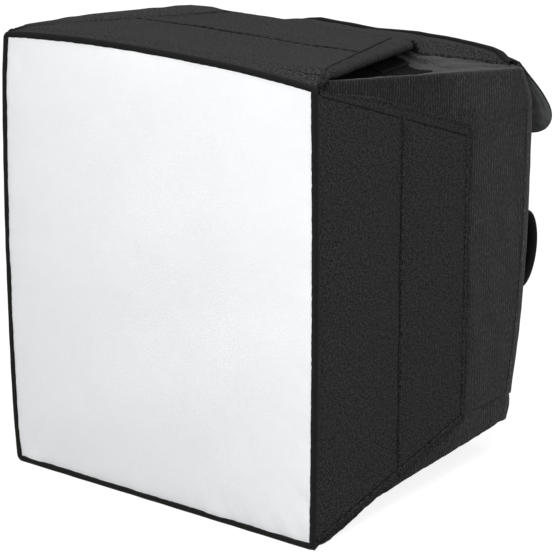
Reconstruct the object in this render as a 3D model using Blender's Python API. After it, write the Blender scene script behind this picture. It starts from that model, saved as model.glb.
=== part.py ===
"""Fold-flat softbox for a camera flash.

A black cloth box with a white diffuser across its face. Each of the four
walls is a concertina: a boarded front panel, a boarded rear panel and a soft
margin, with a tongue behind the top and the bottom margin that closes round
the flash head. Stretch gussets fill the four long corners.

X runs to the right, Y from the face towards the rear, Z up. The face looks
along -Y. The origin lies on the underside of the bottom wall.

Each wall is built in a frame of its own: u across the wall, v from the face
towards the rear, w outwards, with w = 0 on the wall's outer surface.
"""

import math

import bmesh
import bpy
import numpy as np
from mathutils import Vector

# Overall sizes of the opened box
FACE_WIDTH = 0.202
FACE_HEIGHT = 0.240
MID_FOLD_DEPTH = 0.072
PANEL_END_DEPTH = 0.132
SIDE_HEM_UPPER_DEPTH = 0.1945
SIDE_HEM_LOWER_DEPTH = 0.1805
TOP_BACK_LENGTH = 0.055
BOTTOM_BACK_LENGTH = 0.056
ORIGIN_SETBACK = 0.100

# Layers of a boarded panel, from outside to inside
COVER_SKIN = 0.0007
BOARD_THICKNESS = 0.0009
LINING_THICKNESS = 0.0005
LAYER_GAP = 0.0003
PANEL_THICKNESS = COVER_SKIN + BOARD_THICKNESS + LINING_THICKNESS + 2 * LAYER_GAP
PANEL_RIM = 0.0030
PANEL_CORNER_RADIUS = 0.0030
PANEL_EDGE_ROUNDING = 0.0006
ROUND_PROFILE = 0.5

# Outline of the panels: how far an edge runs in for each metre of depth
EDGE_TAPER = 0.36
SIDE_LOWER_TAPER = 0.215
SIDE_UPPER_INSET = 0.0030
SIDE_LOWER_INSET = 0.0045

# Folds: play between neighbours in line, and between folded layers
FOLD_PLAY = 0.0004
STACK_GAP = 0.0005
AXIS_OFFSET = STACK_GAP / 2

# Soft cloth behind the boarded panels
MARGIN_CLOTH = 0.0014
HEM_THICKNESS = 0.0022
HEM_DEPTH = 0.0050
TOP_SLOPE = math.radians(2.6)
TOP_MARGIN_DROP = math.radians(12.5)
TOP_MARGIN_FRONT_HALF_WIDTH = 0.066
TOP_MARGIN_SIDE_CLEARANCE = 0.0010
BOTTOM_MARGIN_REAR_HALF_WIDTH = 0.070
APRON_SIDE_INSET = 0.0005

# Binding round the face and the diffuser inside it
BINDING_WIDTH = 0.0032
BINDING_FRONT = 0.0012
BINDING_BACK = 0.0024
BINDING_CORNER_RADIUS = 0.0080
DIFFUSER_THICKNESS = 0.0008
DIFFUSER_CROWN = 0.0040

# Tongues behind the top and the bottom wall
TOP_TONGUE_LENGTH = 0.066
TOP_TONGUE_CORNER_RADIUS = 0.026
TOP_TONGUE_CURL = 0.010
TOP_TONGUE_DROOP = math.radians(22.0)
BOTTOM_TONGUE_LENGTH = 0.058
BOTTOM_TONGUE_BASE_HALF_WIDTH = 0.042
BOTTOM_TONGUE_TIP_HALF_WIDTH = 0.038
BOTTOM_TONGUE_CORNER_RADIUS = 0.014
TONGUE_EDGE_CURL_SHARE = 0.35
PATCH_THICKNESS = 0.0010
PATCH_BORDER = 0.0060

# Gussets in the long corners
GUSSET_CLOTH = 0.0010
GUSSET_ROUNDING = 0.0050
GUSSET_WALL_SETBACK = 0.0012
GUSSET_TUCK = 0.0070
GUSSET_TUCK_CLEARANCE = 0.0016
UPPER_CORNER_SETBACK = 0.0110
LOWER_CORNER_SETBACK = 0.0070
UPPER_CREASE_DROP = 0.0025
UPPER_CREASE_SLOPE = 0.125
LOWER_CREASE_RISE = 0.0035
LOWER_CREASE_SLOPE = 0.080
GUSSET_FOLD_HEIGHT = 0.0012
GUSSET_FOLD_COUNT = 2
GUSSET_FOLD_SHARE = 0.6

# Corner strips along the slanted edges of the top panels
RIGHT_STRIP_WIDTH = 0.013
LEFT_STRIP_WIDTH = 0.0315
STRIP_START_WIDTH = 0.0030
STRIP_START_SETBACK = 0.004
STRIP_END_SETBACK = 0.0055
STRIP_SIDE_CLEARANCE = 0.0015
STRIP_CLOTH = 0.0015
RIGHT_ROLL_RADIUS = 0.0025
LEFT_ROLL_RADIUS = 0.0010
RIGHT_STRIP_LIFT = math.radians(-16.0)
LEFT_STRIP_LIFT = math.radians(-2.0)
TAPE_THICKNESS = 0.0008
TAPE_WIDTH = 0.0075
TAPE_INSET = 0.0020
TAPE_START_SETBACK = 0.016
TAPE_END_SETBACK = 0.008

# Tape loops behind the side hems
LOOP_HEIGHT = 0.042
LOOP_BULGE = 0.012
LOOP_TAPE_WIDTH = 0.008
LOOP_TAPE_THICKNESS = 0.0014
LOOP_CENTRE_HEIGHT = 0.112
LOOP_WIDENING = 2.0

# Play between pieces that touch
SEAT_GAP = 0.0003

TOP_MARGIN_REAR_HALF_WIDTH = FACE_WIDTH / 2 - PANEL_THICKNESS - TOP_MARGIN_SIDE_CLEARANCE
BOTTOM_MARGIN_FRONT_HALF_WIDTH = FACE_WIDTH / 2 - EDGE_TAPER * PANEL_END_DEPTH
REAR_PANEL_LENGTH = PANEL_END_DEPTH - MID_FOLD_DEPTH
TAPE_START_DEPTH = MID_FOLD_DEPTH + TAPE_START_SETBACK
TAPE_END_DEPTH = PANEL_END_DEPTH - TAPE_END_SETBACK

# Hinge lines of the walls: the top and bottom walls fold behind the side walls
SIDE_HINGE_DEPTH = BINDING_BACK
SIDE_STACK = AXIS_OFFSET + 2 * PANEL_THICKNESS + 2 * STACK_GAP + HEM_THICKNESS
LEVEL_HINGE_DEPTH = SIDE_HINGE_DEPTH + SIDE_STACK + STACK_GAP


def clear_scene():
    for item in list(bpy.data.objects):
        bpy.data.objects.remove(item, do_unlink=True)


def material(name, colour, roughness, metallic=0.0):
    made = bpy.data.materials.get(name)
    if made is None:
        made = bpy.data.materials.new(name)
        made.use_nodes = True
        shader = made.node_tree.nodes["Principled BSDF"]
        shader.inputs["Base Color"].default_value = (*colour, 1.0)
        shader.inputs["Roughness"].default_value = roughness
        shader.inputs["Metallic"].default_value = metallic
    return made


def black_nylon():
    return material("black_nylon", (0.030, 0.031, 0.033), 0.75)


def ribbed_stretch():
    return material("ribbed_stretch", (0.036, 0.036, 0.038), 0.85)


def binding_tape():
    return material("binding_tape", (0.008, 0.009, 0.008), 0.70)


def white_diffuser():
    return material("white_diffuser", (0.90, 0.92, 0.95), 0.65)


def silver_lining():
    return material("silver_lining", (0.66, 0.67, 0.68), 0.35, 0.6)


def grey_board():
    return material("grey_board", (0.30, 0.29, 0.27), 0.80)


def loop_pile():
    return material("loop_pile", (0.055, 0.056, 0.056), 0.95)


def hook_tape():
    return material("hook_tape", (0.020, 0.020, 0.021), 0.80)


def frame_empty(name, location, rotation=(0.0, 0.0, 0.0), parent=None):
    """An axis or a wall's own frame; the pieces that move with it are its children."""
    empty = bpy.data.objects.new(name, None)
    empty.empty_display_size = 0.01
    empty.location = location
    empty.rotation_euler = rotation
    empty.parent = parent
    bpy.context.scene.collection.objects.link(empty)
    return empty


def add_piece(name, mesh, look, parent=None, smooth=True):
    piece = bpy.data.objects.new(name, mesh)
    piece.data.materials.append(look)
    piece.parent = parent
    bpy.context.scene.collection.objects.link(piece)
    if smooth:
        mesh.shade_smooth()
        mesh.set_sharp_from_angle(angle=math.radians(35))
    return piece


def mesh_from_bmesh(name, bm):
    bmesh.ops.recalc_face_normals(bm, faces=bm.faces)
    mesh = bpy.data.meshes.new(name)
    bm.to_mesh(mesh)
    bm.free()
    return mesh


def inset_outline(points, distance):
    """Moves each side of a convex outline inwards by a distance."""
    count = len(points)
    centre = sum((Vector(p) for p in points), Vector((0.0, 0.0))) / count
    lines = []
    for index in range(count):
        start = Vector(points[index])
        along = (Vector(points[(index + 1) % count]) - start).normalized()
        normal = Vector((-along.y, along.x))
        if normal.dot(centre - start) < 0:
            normal = -normal
        lines.append((start + normal * distance, along))
    moved = []
    for index in range(count):
        base, along = lines[index - 1]
        other_base, other_along = lines[index]
        cross = along.x * other_along.y - along.y * other_along.x
        offset = other_base - base
        reach = (offset.x * other_along.y - offset.y * other_along.x) / cross
        moved.append(tuple(base + along * reach))
    return moved


def rounded_outline(points, radius, steps=3):
    """Replaces each corner of a convex outline by an arc that touches both sides."""
    rounded = []
    count = len(points)
    for index in range(count):
        corner = Vector(points[index])
        back = (Vector(points[index - 1]) - corner).normalized()
        ahead = (Vector(points[(index + 1) % count]) - corner).normalized()
        half_angle = back.angle(ahead) / 2
        reach = radius / math.tan(half_angle)
        middle = corner + (back + ahead).normalized() * (radius / math.sin(half_angle))
        first = corner + back * reach - middle
        last = corner + ahead * reach - middle
        turn = first.angle_signed(last)
        for step in range(steps + 1):
            angle = -turn * step / steps
            arm = Vector((first.x * math.cos(angle) - first.y * math.sin(angle),
                          first.x * math.sin(angle) + first.y * math.cos(angle)))
            rounded.append(tuple(middle + arm))
    return rounded


def add_slab(bm, outline, low, high):
    """A flat outline in u and v given thickness from low to high along w."""
    floor = [bm.verts.new((u, v, low)) for u, v in outline]
    base = bm.faces.new(floor)
    raised = bmesh.ops.extrude_face_region(bm, geom=[base])
    top = [item for item in raised["geom"] if isinstance(item, bmesh.types.BMVert)]
    bmesh.ops.translate(bm, verts=top, vec=(0.0, 0.0, high - low))
    return base, top


def slab_piece(name, outline, low, high, look, parent):
    bm = bmesh.new()
    add_slab(bm, outline, low, high)
    return add_piece(name, mesh_from_bmesh(name, bm), look, parent, smooth=False)


def rounded_slab_piece(name, outline, low, high, rounding, look, parent):
    """A slab whose outer edges are softened, as folded cloth is."""
    bm = bmesh.new()
    add_slab(bm, outline, low, high)
    rims = [edge for edge in bm.edges if abs(edge.verts[0].co.z - edge.verts[1].co.z) < 1e-7]
    bmesh.ops.bevel(bm, geom=rims, offset=rounding, segments=2,
                    profile=ROUND_PROFILE, affect="EDGES")
    return add_piece(name, mesh_from_bmesh(name, bm), look, parent)


def grid_mesh(name, points):
    """A sheet through a grid of points of shape (rows, columns, 3)."""
    rows, columns, _ = points.shape
    mesh = bpy.data.meshes.new(name)
    faces = []
    for row in range(rows - 1):
        for column in range(columns - 1):
            corner = row * columns + column
            faces.append((corner, corner + 1, corner + columns + 1, corner + columns))
    mesh.from_pydata(points.reshape(-1, 3).tolist(), [], faces)
    return mesh


def cloth_piece(name, points, thickness, look, parent=None):
    """A sheet through a grid of points, thickened evenly to both sides."""
    piece = add_piece(name, grid_mesh(name, points), look, parent)
    solidify = piece.modifiers.new("cloth", "SOLIDIFY")
    solidify.thickness = thickness
    solidify.offset = 0.0
    solidify.use_even_offset = True
    return piece


def lofted_piece(name, sections, look, parent=None):
    """A closed skin through cross-sections with equal point counts, capped at both ends."""
    count = len(sections[0])
    bm = bmesh.new()
    rings = [[bm.verts.new(point) for point in section] for section in sections]
    for near, far in zip(rings, rings[1:]):
        for index in range(count):
            following = (index + 1) % count
            bm.faces.new((near[index], near[following], far[following], far[index]))
    bm.faces.new(rings[0])
    bm.faces.new(rings[-1])
    return add_piece(name, mesh_from_bmesh(name, bm), look, parent)


# Face: binding, diffuser and the two aprons that carry the level walls

def face_rectangle(inset, radius):
    half_width = FACE_WIDTH / 2 - inset
    low = inset
    high = FACE_HEIGHT - inset
    corners = [(-half_width, low), (half_width, low), (half_width, high), (-half_width, high)]
    return rounded_outline(corners, radius, steps=4)


def face_depth(v):
    return v - ORIGIN_SETBACK


def make_binding():
    """A padded tape swept round the face; its section is an oval."""
    sides = 8
    loops = []
    for step in range(sides):
        angle = 2 * math.pi * step / sides
        across = BINDING_WIDTH / 2 * (1 - math.cos(angle))
        middle = (BINDING_BACK - BINDING_FRONT) / 2
        deep = middle + (BINDING_BACK + BINDING_FRONT) / 2 * math.sin(angle)
        outline = face_rectangle(across, BINDING_CORNER_RADIUS - across)
        loops.append([(x, face_depth(deep), z) for x, z in outline])
    bm = bmesh.new()
    rings = [[bm.verts.new(point) for point in loop] for loop in loops]
    count = len(rings[0])
    for step in range(sides):
        near = rings[step]
        far = rings[(step + 1) % sides]
        for index in range(count):
            following = (index + 1) % count
            bm.faces.new((near[index], near[following], far[following], far[index]))
    add_piece("face_binding", mesh_from_bmesh("face_binding", bm), binding_tape())


def make_diffuser():
    """A crowned sheet that stops just inside the binding."""
    inset = BINDING_WIDTH + SEAT_GAP
    outline = face_rectangle(inset, BINDING_CORNER_RADIUS - inset)
    middle = FACE_HEIGHT / 2
    rings = 7
    bm = bmesh.new()
    shells = []
    for back in (0.0, DIFFUSER_THICKNESS):
        centre = bm.verts.new((0.0, face_depth(back - DIFFUSER_CROWN), middle))
        loops = []
        for ring in range(1, rings + 1):
            share = ring / rings
            deep = back - DIFFUSER_CROWN * (1 - share * share)
            loops.append([bm.verts.new((x * share, face_depth(deep), middle + (z - middle) * share))
                          for x, z in outline])
        count = len(outline)
        for index in range(count):
            following = (index + 1) % count
            bm.faces.new((centre, loops[0][index], loops[0][following]))
            for near, far in zip(loops, loops[1:]):
                bm.faces.new((near[index], far[index], far[following], near[following]))
        shells.append(loops[-1])
    front, rear = shells
    for index in range(len(outline)):
        following = (index + 1) % len(outline)
        bm.faces.new((front[index], rear[index], rear[following], front[following]))
    add_piece("diffuser", mesh_from_bmesh("diffuser", bm), white_diffuser())


def make_apron(wall_frame, name):
    """The short fixed strip between the binding and a level wall's front fold."""
    front = BINDING_BACK + SEAT_GAP
    rear = LEVEL_HINGE_DEPTH - FOLD_PLAY
    half_width = FACE_WIDTH / 2 - APRON_SIDE_INSET
    outline = [(-half_width, front), (half_width, front), (half_width, rear), (-half_width, rear)]
    rounded_slab_piece(name, outline, -PANEL_THICKNESS, 0.0, PANEL_EDGE_ROUNDING,
                       black_nylon(), wall_frame)


# Walls

def level_edges(v):
    """Left and right edge of a top or bottom panel at depth v."""
    half_width = FACE_WIDTH / 2 - EDGE_TAPER * v
    return -half_width, half_width


def side_heights(v):
    """Lower and upper edge of a side panel at depth v, as heights above the floor."""
    deep = min(v, PANEL_END_DEPTH)
    lower = SIDE_LOWER_INSET + SIDE_LOWER_TAPER * deep
    upper = FACE_HEIGHT - SIDE_UPPER_INSET - EDGE_TAPER * deep
    return lower, upper


def right_edges(v):
    lower, upper = side_heights(v)
    return FACE_HEIGHT / 2 - upper, FACE_HEIGHT / 2 - lower


def left_edges(v):
    lower, upper = side_heights(v)
    return lower - FACE_HEIGHT / 2, upper - FACE_HEIGHT / 2


def trapezoid(edges, start, end, v_zero):
    """Corners of a panel between two depths, counted from the piece's own v = 0."""
    low_start, high_start = edges(start)
    low_end, high_end = edges(end)
    return [(low_start, start - v_zero), (high_start, start - v_zero),
            (high_end, end - v_zero), (low_end, end - v_zero)]


def make_panel(name, corners, outer, axis):
    """Cover with a turned rim, the board in its pocket and the lining over it.

    The corners are in the axis empty's frame, and outer is its w of the
    panel's outer surface.
    """
    inner = outer - PANEL_THICKNESS
    pocket = outer - COVER_SKIN
    shape = rounded_outline(corners, PANEL_CORNER_RADIUS)
    bm = bmesh.new()
    base, top = add_slab(bm, shape, inner, outer)
    top_set = set(top)
    rims = [edge for edge in bm.edges if edge.verts[0] in top_set and edge.verts[1] in top_set]
    bmesh.ops.bevel(bm, geom=rims, offset=PANEL_EDGE_ROUNDING, segments=2,
                    profile=ROUND_PROFILE, affect="EDGES")
    bm.faces.ensure_lookup_table()
    floor = min(bm.faces, key=lambda face: face.calc_center_median().z)
    bmesh.ops.inset_region(bm, faces=[floor], thickness=PANEL_RIM, use_even_offset=True)
    pressed = bmesh.ops.extrude_face_region(bm, geom=[floor])
    lifted = [item for item in pressed["geom"] if isinstance(item, bmesh.types.BMVert)]
    bmesh.ops.delete(bm, geom=[floor], context="FACES_ONLY")
    bmesh.ops.translate(bm, verts=lifted, vec=(0.0, 0.0, pocket - inner))
    add_piece(name + "_cover", mesh_from_bmesh(name + "_cover", bm), black_nylon(), axis)

    inside = inset_outline(corners, PANEL_RIM + SEAT_GAP)
    inside = rounded_outline(inside, PANEL_CORNER_RADIUS, steps=2)
    board_top = pocket - LAYER_GAP
    slab_piece(name + "_board", inside, board_top - BOARD_THICKNESS, board_top,
               grey_board(), axis)
    slab_piece(name + "_lining", inside, inner, inner + LINING_THICKNESS,
               silver_lining(), axis)


def make_wall_panels(name, edges, wall_frame, hinge_depth, slope=0.0):
    """The two boarded panels of a wall and the axes of their folds.

    The front fold lies on the inner surface, so that the panel turns in
    behind the diffuser. The middle fold lies on the outer surface, so that
    the rear panel turns back over the front one. Returns the rear panel's
    axis empty.
    """
    front_axis = frame_empty(name + "_front_fold",
                             (0.0, hinge_depth, -PANEL_THICKNESS - AXIS_OFFSET),
                             (-slope, 0.0, 0.0), wall_frame)
    outer = PANEL_THICKNESS + AXIS_OFFSET
    corners = trapezoid(edges, hinge_depth + FOLD_PLAY, MID_FOLD_DEPTH - FOLD_PLAY, hinge_depth)
    make_panel(name + "_front", corners, outer, front_axis)

    rear_axis = frame_empty(name + "_rear_fold",
                            (0.0, MID_FOLD_DEPTH - hinge_depth, outer + AXIS_OFFSET),
                            parent=front_axis)
    corners = trapezoid(edges, MID_FOLD_DEPTH + FOLD_PLAY, PANEL_END_DEPTH - FOLD_PLAY,
                        MID_FOLD_DEPTH)
    make_panel(name + "_rear", corners, -AXIS_OFFSET, rear_axis)
    return front_axis, rear_axis


# Place of the third fold in the rear panel's frame, on the inner surface
END_FOLD_PLACE = (0.0, REAR_PANEL_LENGTH, -PANEL_THICKNESS - 2 * AXIS_OFFSET)


def make_side_margin(name, edges, rear_axis, up):
    """Stretch margin, hem and tape loop behind a side wall's rear panel.

    The hem runs slantwise, further back at its upper end. up is the sign of
    u at the upper end.
    """
    axis = frame_empty(name + "_margin_fold", END_FOLD_PLACE, parent=rear_axis)
    inner = AXIS_OFFSET
    low, high = edges(PANEL_END_DEPTH)
    upper_rear = SIDE_HEM_UPPER_DEPTH - PANEL_END_DEPTH
    lower_rear = SIDE_HEM_LOWER_DEPTH - PANEL_END_DEPTH
    low_rear, high_rear = (upper_rear, lower_rear) if up < 0 else (lower_rear, upper_rear)
    sheet = [(low, FOLD_PLAY), (high, FOLD_PLAY), (high, high_rear - HEM_DEPTH - SEAT_GAP),
             (low, low_rear - HEM_DEPTH - SEAT_GAP)]
    rounded_slab_piece(name + "_margin", sheet, inner, inner + MARGIN_CLOTH,
                       PANEL_EDGE_ROUNDING, ribbed_stretch(), axis)
    hem = [(low, low_rear - HEM_DEPTH), (high, high_rear - HEM_DEPTH), (high, high_rear),
           (low, low_rear)]
    rounded_slab_piece(name + "_hem", hem, inner, inner + HEM_THICKNESS,
                       PANEL_EDGE_ROUNDING, ribbed_stretch(), axis)
    make_tape_loop(name + "_tape_loop", Vector((low, low_rear)), Vector((high, high_rear)),
                   inner, up, axis)


def make_tape_loop(name, hem_low, hem_high, inner, up, axis):
    """A bowed tape behind the hem, both ends on it, open towards both sides.

    Its ends are folded narrow. It widens only beyond the length of the rear
    panel, so that it lies beside the folded panels and not in them.
    """
    along = (hem_high - hem_low).normalized()
    behind = Vector((-along.y, along.x))
    middle = up * (LOOP_CENTRE_HEIGHT - FACE_HEIGHT / 2)
    seat = hem_low + along * ((middle - hem_low.x) / along.x) + behind * SEAT_GAP
    steps = 16
    half = LOOP_TAPE_THICKNESS / 2
    top = inner + MARGIN_CLOTH
    sections = []
    for step in range(steps + 1):
        angle = math.pi * step / steps
        centre = (seat - along * (LOOP_HEIGHT / 2 * math.cos(angle))
                  + behind * (LOOP_BULGE * math.sin(angle)))
        tangent = (along * (LOOP_HEIGHT / 2 * math.sin(angle))
                   + behind * (LOOP_BULGE * math.cos(angle))).normalized()
        normal = Vector((-tangent.y, tangent.x))
        outside = centre + normal * half
        inside = centre - normal * half
        widening = LOOP_WIDENING * max(inside.y - REAR_PANEL_LENGTH, 0.0)
        bottom = max(inner - widening, top - LOOP_TAPE_WIDTH)
        sections.append([(outside.x, outside.y, bottom), (outside.x, outside.y, top),
                         (inside.x, inside.y, top), (inside.x, inside.y, bottom)])
    lofted_piece(name, sections, binding_tape(), axis)


def make_level_rear(name, rear_axis, front_half, rear_half, whole, drop):
    """Margin and hem of the top or the bottom wall. Returns the hem's axis empty."""
    margin_axis = frame_empty(name + "_margin_fold", END_FOLD_PLACE, (-drop, 0.0, 0.0), rear_axis)
    length = whole - HEM_DEPTH
    inner = AXIS_OFFSET
    outer = inner + MARGIN_CLOTH
    sheet = [(-front_half, FOLD_PLAY), (front_half, FOLD_PLAY),
             (rear_half, length - FOLD_PLAY), (-rear_half, length - FOLD_PLAY)]
    rounded_slab_piece(name + "_margin", sheet, inner, outer, PANEL_EDGE_ROUNDING,
                       black_nylon(), margin_axis)
    hem_axis = frame_empty(name + "_hem_fold", (0.0, length, outer + AXIS_OFFSET),
                           parent=margin_axis)
    hem = [(-rear_half, FOLD_PLAY), (rear_half, FOLD_PLAY),
           (rear_half, HEM_DEPTH - FOLD_PLAY), (-rear_half, HEM_DEPTH - FOLD_PLAY)]
    rounded_slab_piece(name + "_hem", hem, -AXIS_OFFSET - HEM_THICKNESS, -AXIS_OFFSET,
                       PANEL_EDGE_ROUNDING, black_nylon(), hem_axis)
    return hem_axis


# Tongues

def tongue_half_width(v, base_half, tip_half, length, radius):
    """Straight side edge that ends in a quarter circle at the tip."""
    straight = base_half + (tip_half - base_half) * v / length
    turn = max(0.0, v - (length - radius)) / radius
    return straight - radius * (1 - math.sqrt(max(0.0, 1 - turn * turn)))


def tongue_grid(shape, start, end, border, height, rows, columns):
    """Grid over a tongue; height is its distance from the tongue's mid surface.

    A shape is the half widths at base and tip, the length, the corner radius
    and the curl. Along v the tongue curls inwards with the square of the
    depth, and its side edges curl a little further than its middle.
    """
    base_half, tip_half, length, radius, curl = shape
    points = np.zeros((rows, columns, 3))
    for row in range(rows):
        v = start + (end - start) * row / (rows - 1)
        half = tongue_half_width(v, base_half, tip_half, length, radius) - border
        for column in range(columns):
            share = 2 * column / (columns - 1) - 1
            u = half * share
            bend = curl * (v / length) ** 2
            edge = TONGUE_EDGE_CURL_SHARE * curl * (v / length) * (u / base_half) ** 2
            slope = 2 * curl * v / length ** 2
            lean = math.atan(slope)
            points[row, column] = (u, v + height * math.sin(lean),
                                   height * math.cos(lean) - bend - edge)
    return points


def make_tongue(name, hem_axis, shape, droop):
    """A cloth tongue hinged at the hem, with a fastener patch on its inner side."""
    axis = frame_empty(name + "_hinge", (0.0, HEM_DEPTH, -AXIS_OFFSET - MARGIN_CLOTH),
                       (-droop, 0.0, 0.0), hem_axis)
    middle = MARGIN_CLOTH / 2
    length = shape[2]
    rows = 16
    columns = 15
    body = tongue_grid(shape, FOLD_PLAY, length, 0.0, middle, rows, columns)
    cloth_piece(name, body, MARGIN_CLOTH, black_nylon(), axis)
    under = middle - MARGIN_CLOTH / 2 - SEAT_GAP - PATCH_THICKNESS / 2
    patch = tongue_grid(shape, PATCH_BORDER, length - PATCH_BORDER, PATCH_BORDER, under,
                        rows - 4, columns - 4)
    cloth_piece(name + "_patch", patch, PATCH_THICKNESS, loop_pile(), axis)


# Corner strips

def turned_section(section, lift, edge_point, outward):
    """Places a flat section beside the panel's edge, turned up about it by the lift.

    The section's points are distances outwards from the edge and upwards.
    """
    placed = []
    for across, high in section:
        turned = across * math.cos(lift) - high * math.sin(lift)
        raised = across * math.sin(lift) + high * math.cos(lift)
        placed.append((edge_point[0] + outward[0] * turned,
                       edge_point[1] + outward[1] * turned,
                       edge_point[2] + raised))
    return placed


def strip_section(radius, width):
    """Section of a corner strip: flat cloth that ends in a roll."""
    half = STRIP_CLOTH / 2
    flat = [(SEAT_GAP + FOLD_PLAY, -half), (width - radius, -half)]
    roll = []
    for step in range(1, 6):
        angle = -math.pi / 2 + math.pi * step / 6
        roll.append((width - radius + radius * math.cos(angle),
                     radius * math.sin(angle) + radius - half))
    top = [(width - radius, half), (SEAT_GAP + FOLD_PLAY, half)]
    return flat + roll + top


def strip_stations(side, start, end, v_zero, outer):
    """Stations along a slanted panel edge: share of the whole strip, width and edge point.

    The strip widens from its start, and stays inside the plane of the side wall.
    """
    whole = PANEL_END_DEPTH - LEVEL_HINGE_DEPTH - STRIP_START_SETBACK
    full = RIGHT_STRIP_WIDTH if side > 0 else LEFT_STRIP_WIDTH
    stations = []
    for v in np.linspace(start, end, 7):
        share = max((v - LEVEL_HINGE_DEPTH - STRIP_START_SETBACK) / whole, 0.0)
        grown = STRIP_START_WIDTH + (full - STRIP_START_WIDTH) * math.sqrt(share)
        reach = (EDGE_TAPER * v - STRIP_SIDE_CLEARANCE) / math.cos(math.atan(EDGE_TAPER))
        width = min(grown, reach)
        edge_point = (side * (FACE_WIDTH / 2 - EDGE_TAPER * v), v - v_zero,
                      outer - PANEL_THICKNESS / 2)
        stations.append((share, width, edge_point))
    return stations


def slanted_outward(side):
    slant = math.atan(EDGE_TAPER)
    return side * math.cos(slant), math.sin(slant)


def make_strip(name, side, start, end, v_zero, outer, radius, lift, axis):
    """Strip along a slanted panel edge between two depths of the top wall."""
    sections = []
    for share, width, edge_point in strip_stations(side, start, end, v_zero, outer):
        section = strip_section(min(radius, width / 3), width)
        sections.append(turned_section(section, lift * share, edge_point, slanted_outward(side)))
    lofted_piece(name, sections, black_nylon(), axis)


def make_loop_tape(name, side, lift, axis):
    """Loop tape sewn under the rear corner strip."""
    top = -STRIP_CLOTH / 2 - SEAT_GAP
    section = [(TAPE_INSET, top - TAPE_THICKNESS), (TAPE_INSET + TAPE_WIDTH, top - TAPE_THICKNESS),
               (TAPE_INSET + TAPE_WIDTH, top), (TAPE_INSET, top)]
    sections = []
    for share, _, edge_point in strip_stations(side, TAPE_START_DEPTH, TAPE_END_DEPTH,
                                               MID_FOLD_DEPTH, -AXIS_OFFSET):
        sections.append(turned_section(section, lift * share, edge_point, slanted_outward(side)))
    lofted_piece(name, sections, loop_pile(), axis)


# Gussets

def top_surface(v):
    """Height of the top wall's outer surface at depth v, on the middle line."""
    sloped = min(v, PANEL_END_DEPTH) - LEVEL_HINGE_DEPTH
    height = FACE_HEIGHT - math.sin(TOP_SLOPE) * max(sloped, 0.0)
    rest = max(v - PANEL_END_DEPTH, 0.0)
    return height - math.sin(TOP_SLOPE + TOP_MARGIN_DROP) * rest


def even_points(line, steps):
    """Points at even distances along a line of straight pieces."""
    line = np.array(line)
    lengths = np.linalg.norm(np.diff(line, axis=0), axis=1)
    travelled = np.concatenate(([0.0], np.cumsum(lengths)))
    wanted = np.linspace(0.0, travelled[-1], steps + 1)
    return np.stack([np.interp(wanted, travelled, line[:, 0]),
                     np.interp(wanted, travelled, line[:, 1])], axis=1)


def level_margin_edge(v, front_half, rear_half, whole):
    share = min(max(v - PANEL_END_DEPTH, 0.0) / whole, 1.0)
    return front_half + (rear_half - front_half) * share


def gusset_curve(side, upper, v, wall_steps, level_steps):
    """Cross-section of a gusset at depth v, from the side wall to under the level wall.

    It rises in the plane of the side wall, turns over the crease and runs
    inwards in shallow folds.
    """
    lower_edge, upper_edge = side_heights(v)
    half = GUSSET_CLOTH / 2
    clearance = SEAT_GAP + half
    wall = FACE_WIDTH / 2 - GUSSET_WALL_SETBACK
    panel_edge = FACE_WIDTH / 2 - EDGE_TAPER * min(v, PANEL_END_DEPTH)
    if upper:
        turn = 1.0
        start = upper_edge + clearance
        crease = FACE_HEIGHT - UPPER_CREASE_DROP - UPPER_CREASE_SLOPE * v
        end = top_surface(v) - PANEL_THICKNESS - half - GUSSET_TUCK_CLEARANCE
        margin_edge = level_margin_edge(v, panel_edge, TOP_MARGIN_REAR_HALF_WIDTH,
                                        TOP_BACK_LENGTH)
    else:
        turn = -1.0
        start = lower_edge - clearance
        crease = LOWER_CREASE_RISE + LOWER_CREASE_SLOPE * v
        end = PANEL_THICKNESS + half + GUSSET_TUCK_CLEARANCE
        margin_edge = level_margin_edge(v, panel_edge, BOTTOM_MARGIN_REAR_HALF_WIDTH,
                                        BOTTOM_BACK_LENGTH)
    tuck = margin_edge - GUSSET_TUCK
    reach = min(GUSSET_ROUNDING, 0.8 * abs(crease - start))
    knee = crease - turn * reach
    corner = []
    for step in range(9):
        angle = math.pi / 2 * step / 8
        corner.append((wall - reach * (1 - math.cos(angle)), knee + turn * reach * math.sin(angle)))
    rise = even_points([(wall, start)] + corner[:5], wall_steps)
    run = even_points(corner[4:] + [(tuck, end)], level_steps)
    depth = GUSSET_FOLD_HEIGHT * min(v / PANEL_END_DEPTH, 1.0)
    share = np.linspace(0.0, 1.0, level_steps + 1)
    outer_share = np.minimum(share / GUSSET_FOLD_SHARE, 1.0)
    run[:, 1] -= turn * depth * np.sin(math.pi * GUSSET_FOLD_COUNT * outer_share) ** 2
    points = np.concatenate([rise[:-1], run])
    points[:, 0] *= side
    return points


def make_gusset(name, side, upper):
    """Gusset whose rear edge runs forward from the side hem to the corner."""
    start = LEVEL_HINGE_DEPTH + 2 * SEAT_GAP
    if upper:
        end = SIDE_HEM_UPPER_DEPTH - SEAT_GAP
        setback = UPPER_CORNER_SETBACK
    else:
        end = SIDE_HEM_LOWER_DEPTH - SEAT_GAP
        setback = LOWER_CORNER_SETBACK
    stations = 16
    wall_steps = 6
    level_steps = 16
    grid = []
    for station in range(stations + 1):
        share = station / stations
        row = []
        curve = gusset_curve(side, upper, start + (end - start) * share, wall_steps, level_steps)
        for index, (x, z) in enumerate(curve):
            forward = setback * min(index / wall_steps, 1.0)
            row.append((x, face_depth(start + (end - forward - start) * share), z))
        grid.append(row)
    grid = np.array(grid)
    cloth_piece(name, grid, GUSSET_CLOTH, ribbed_stretch())
    return grid


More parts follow.
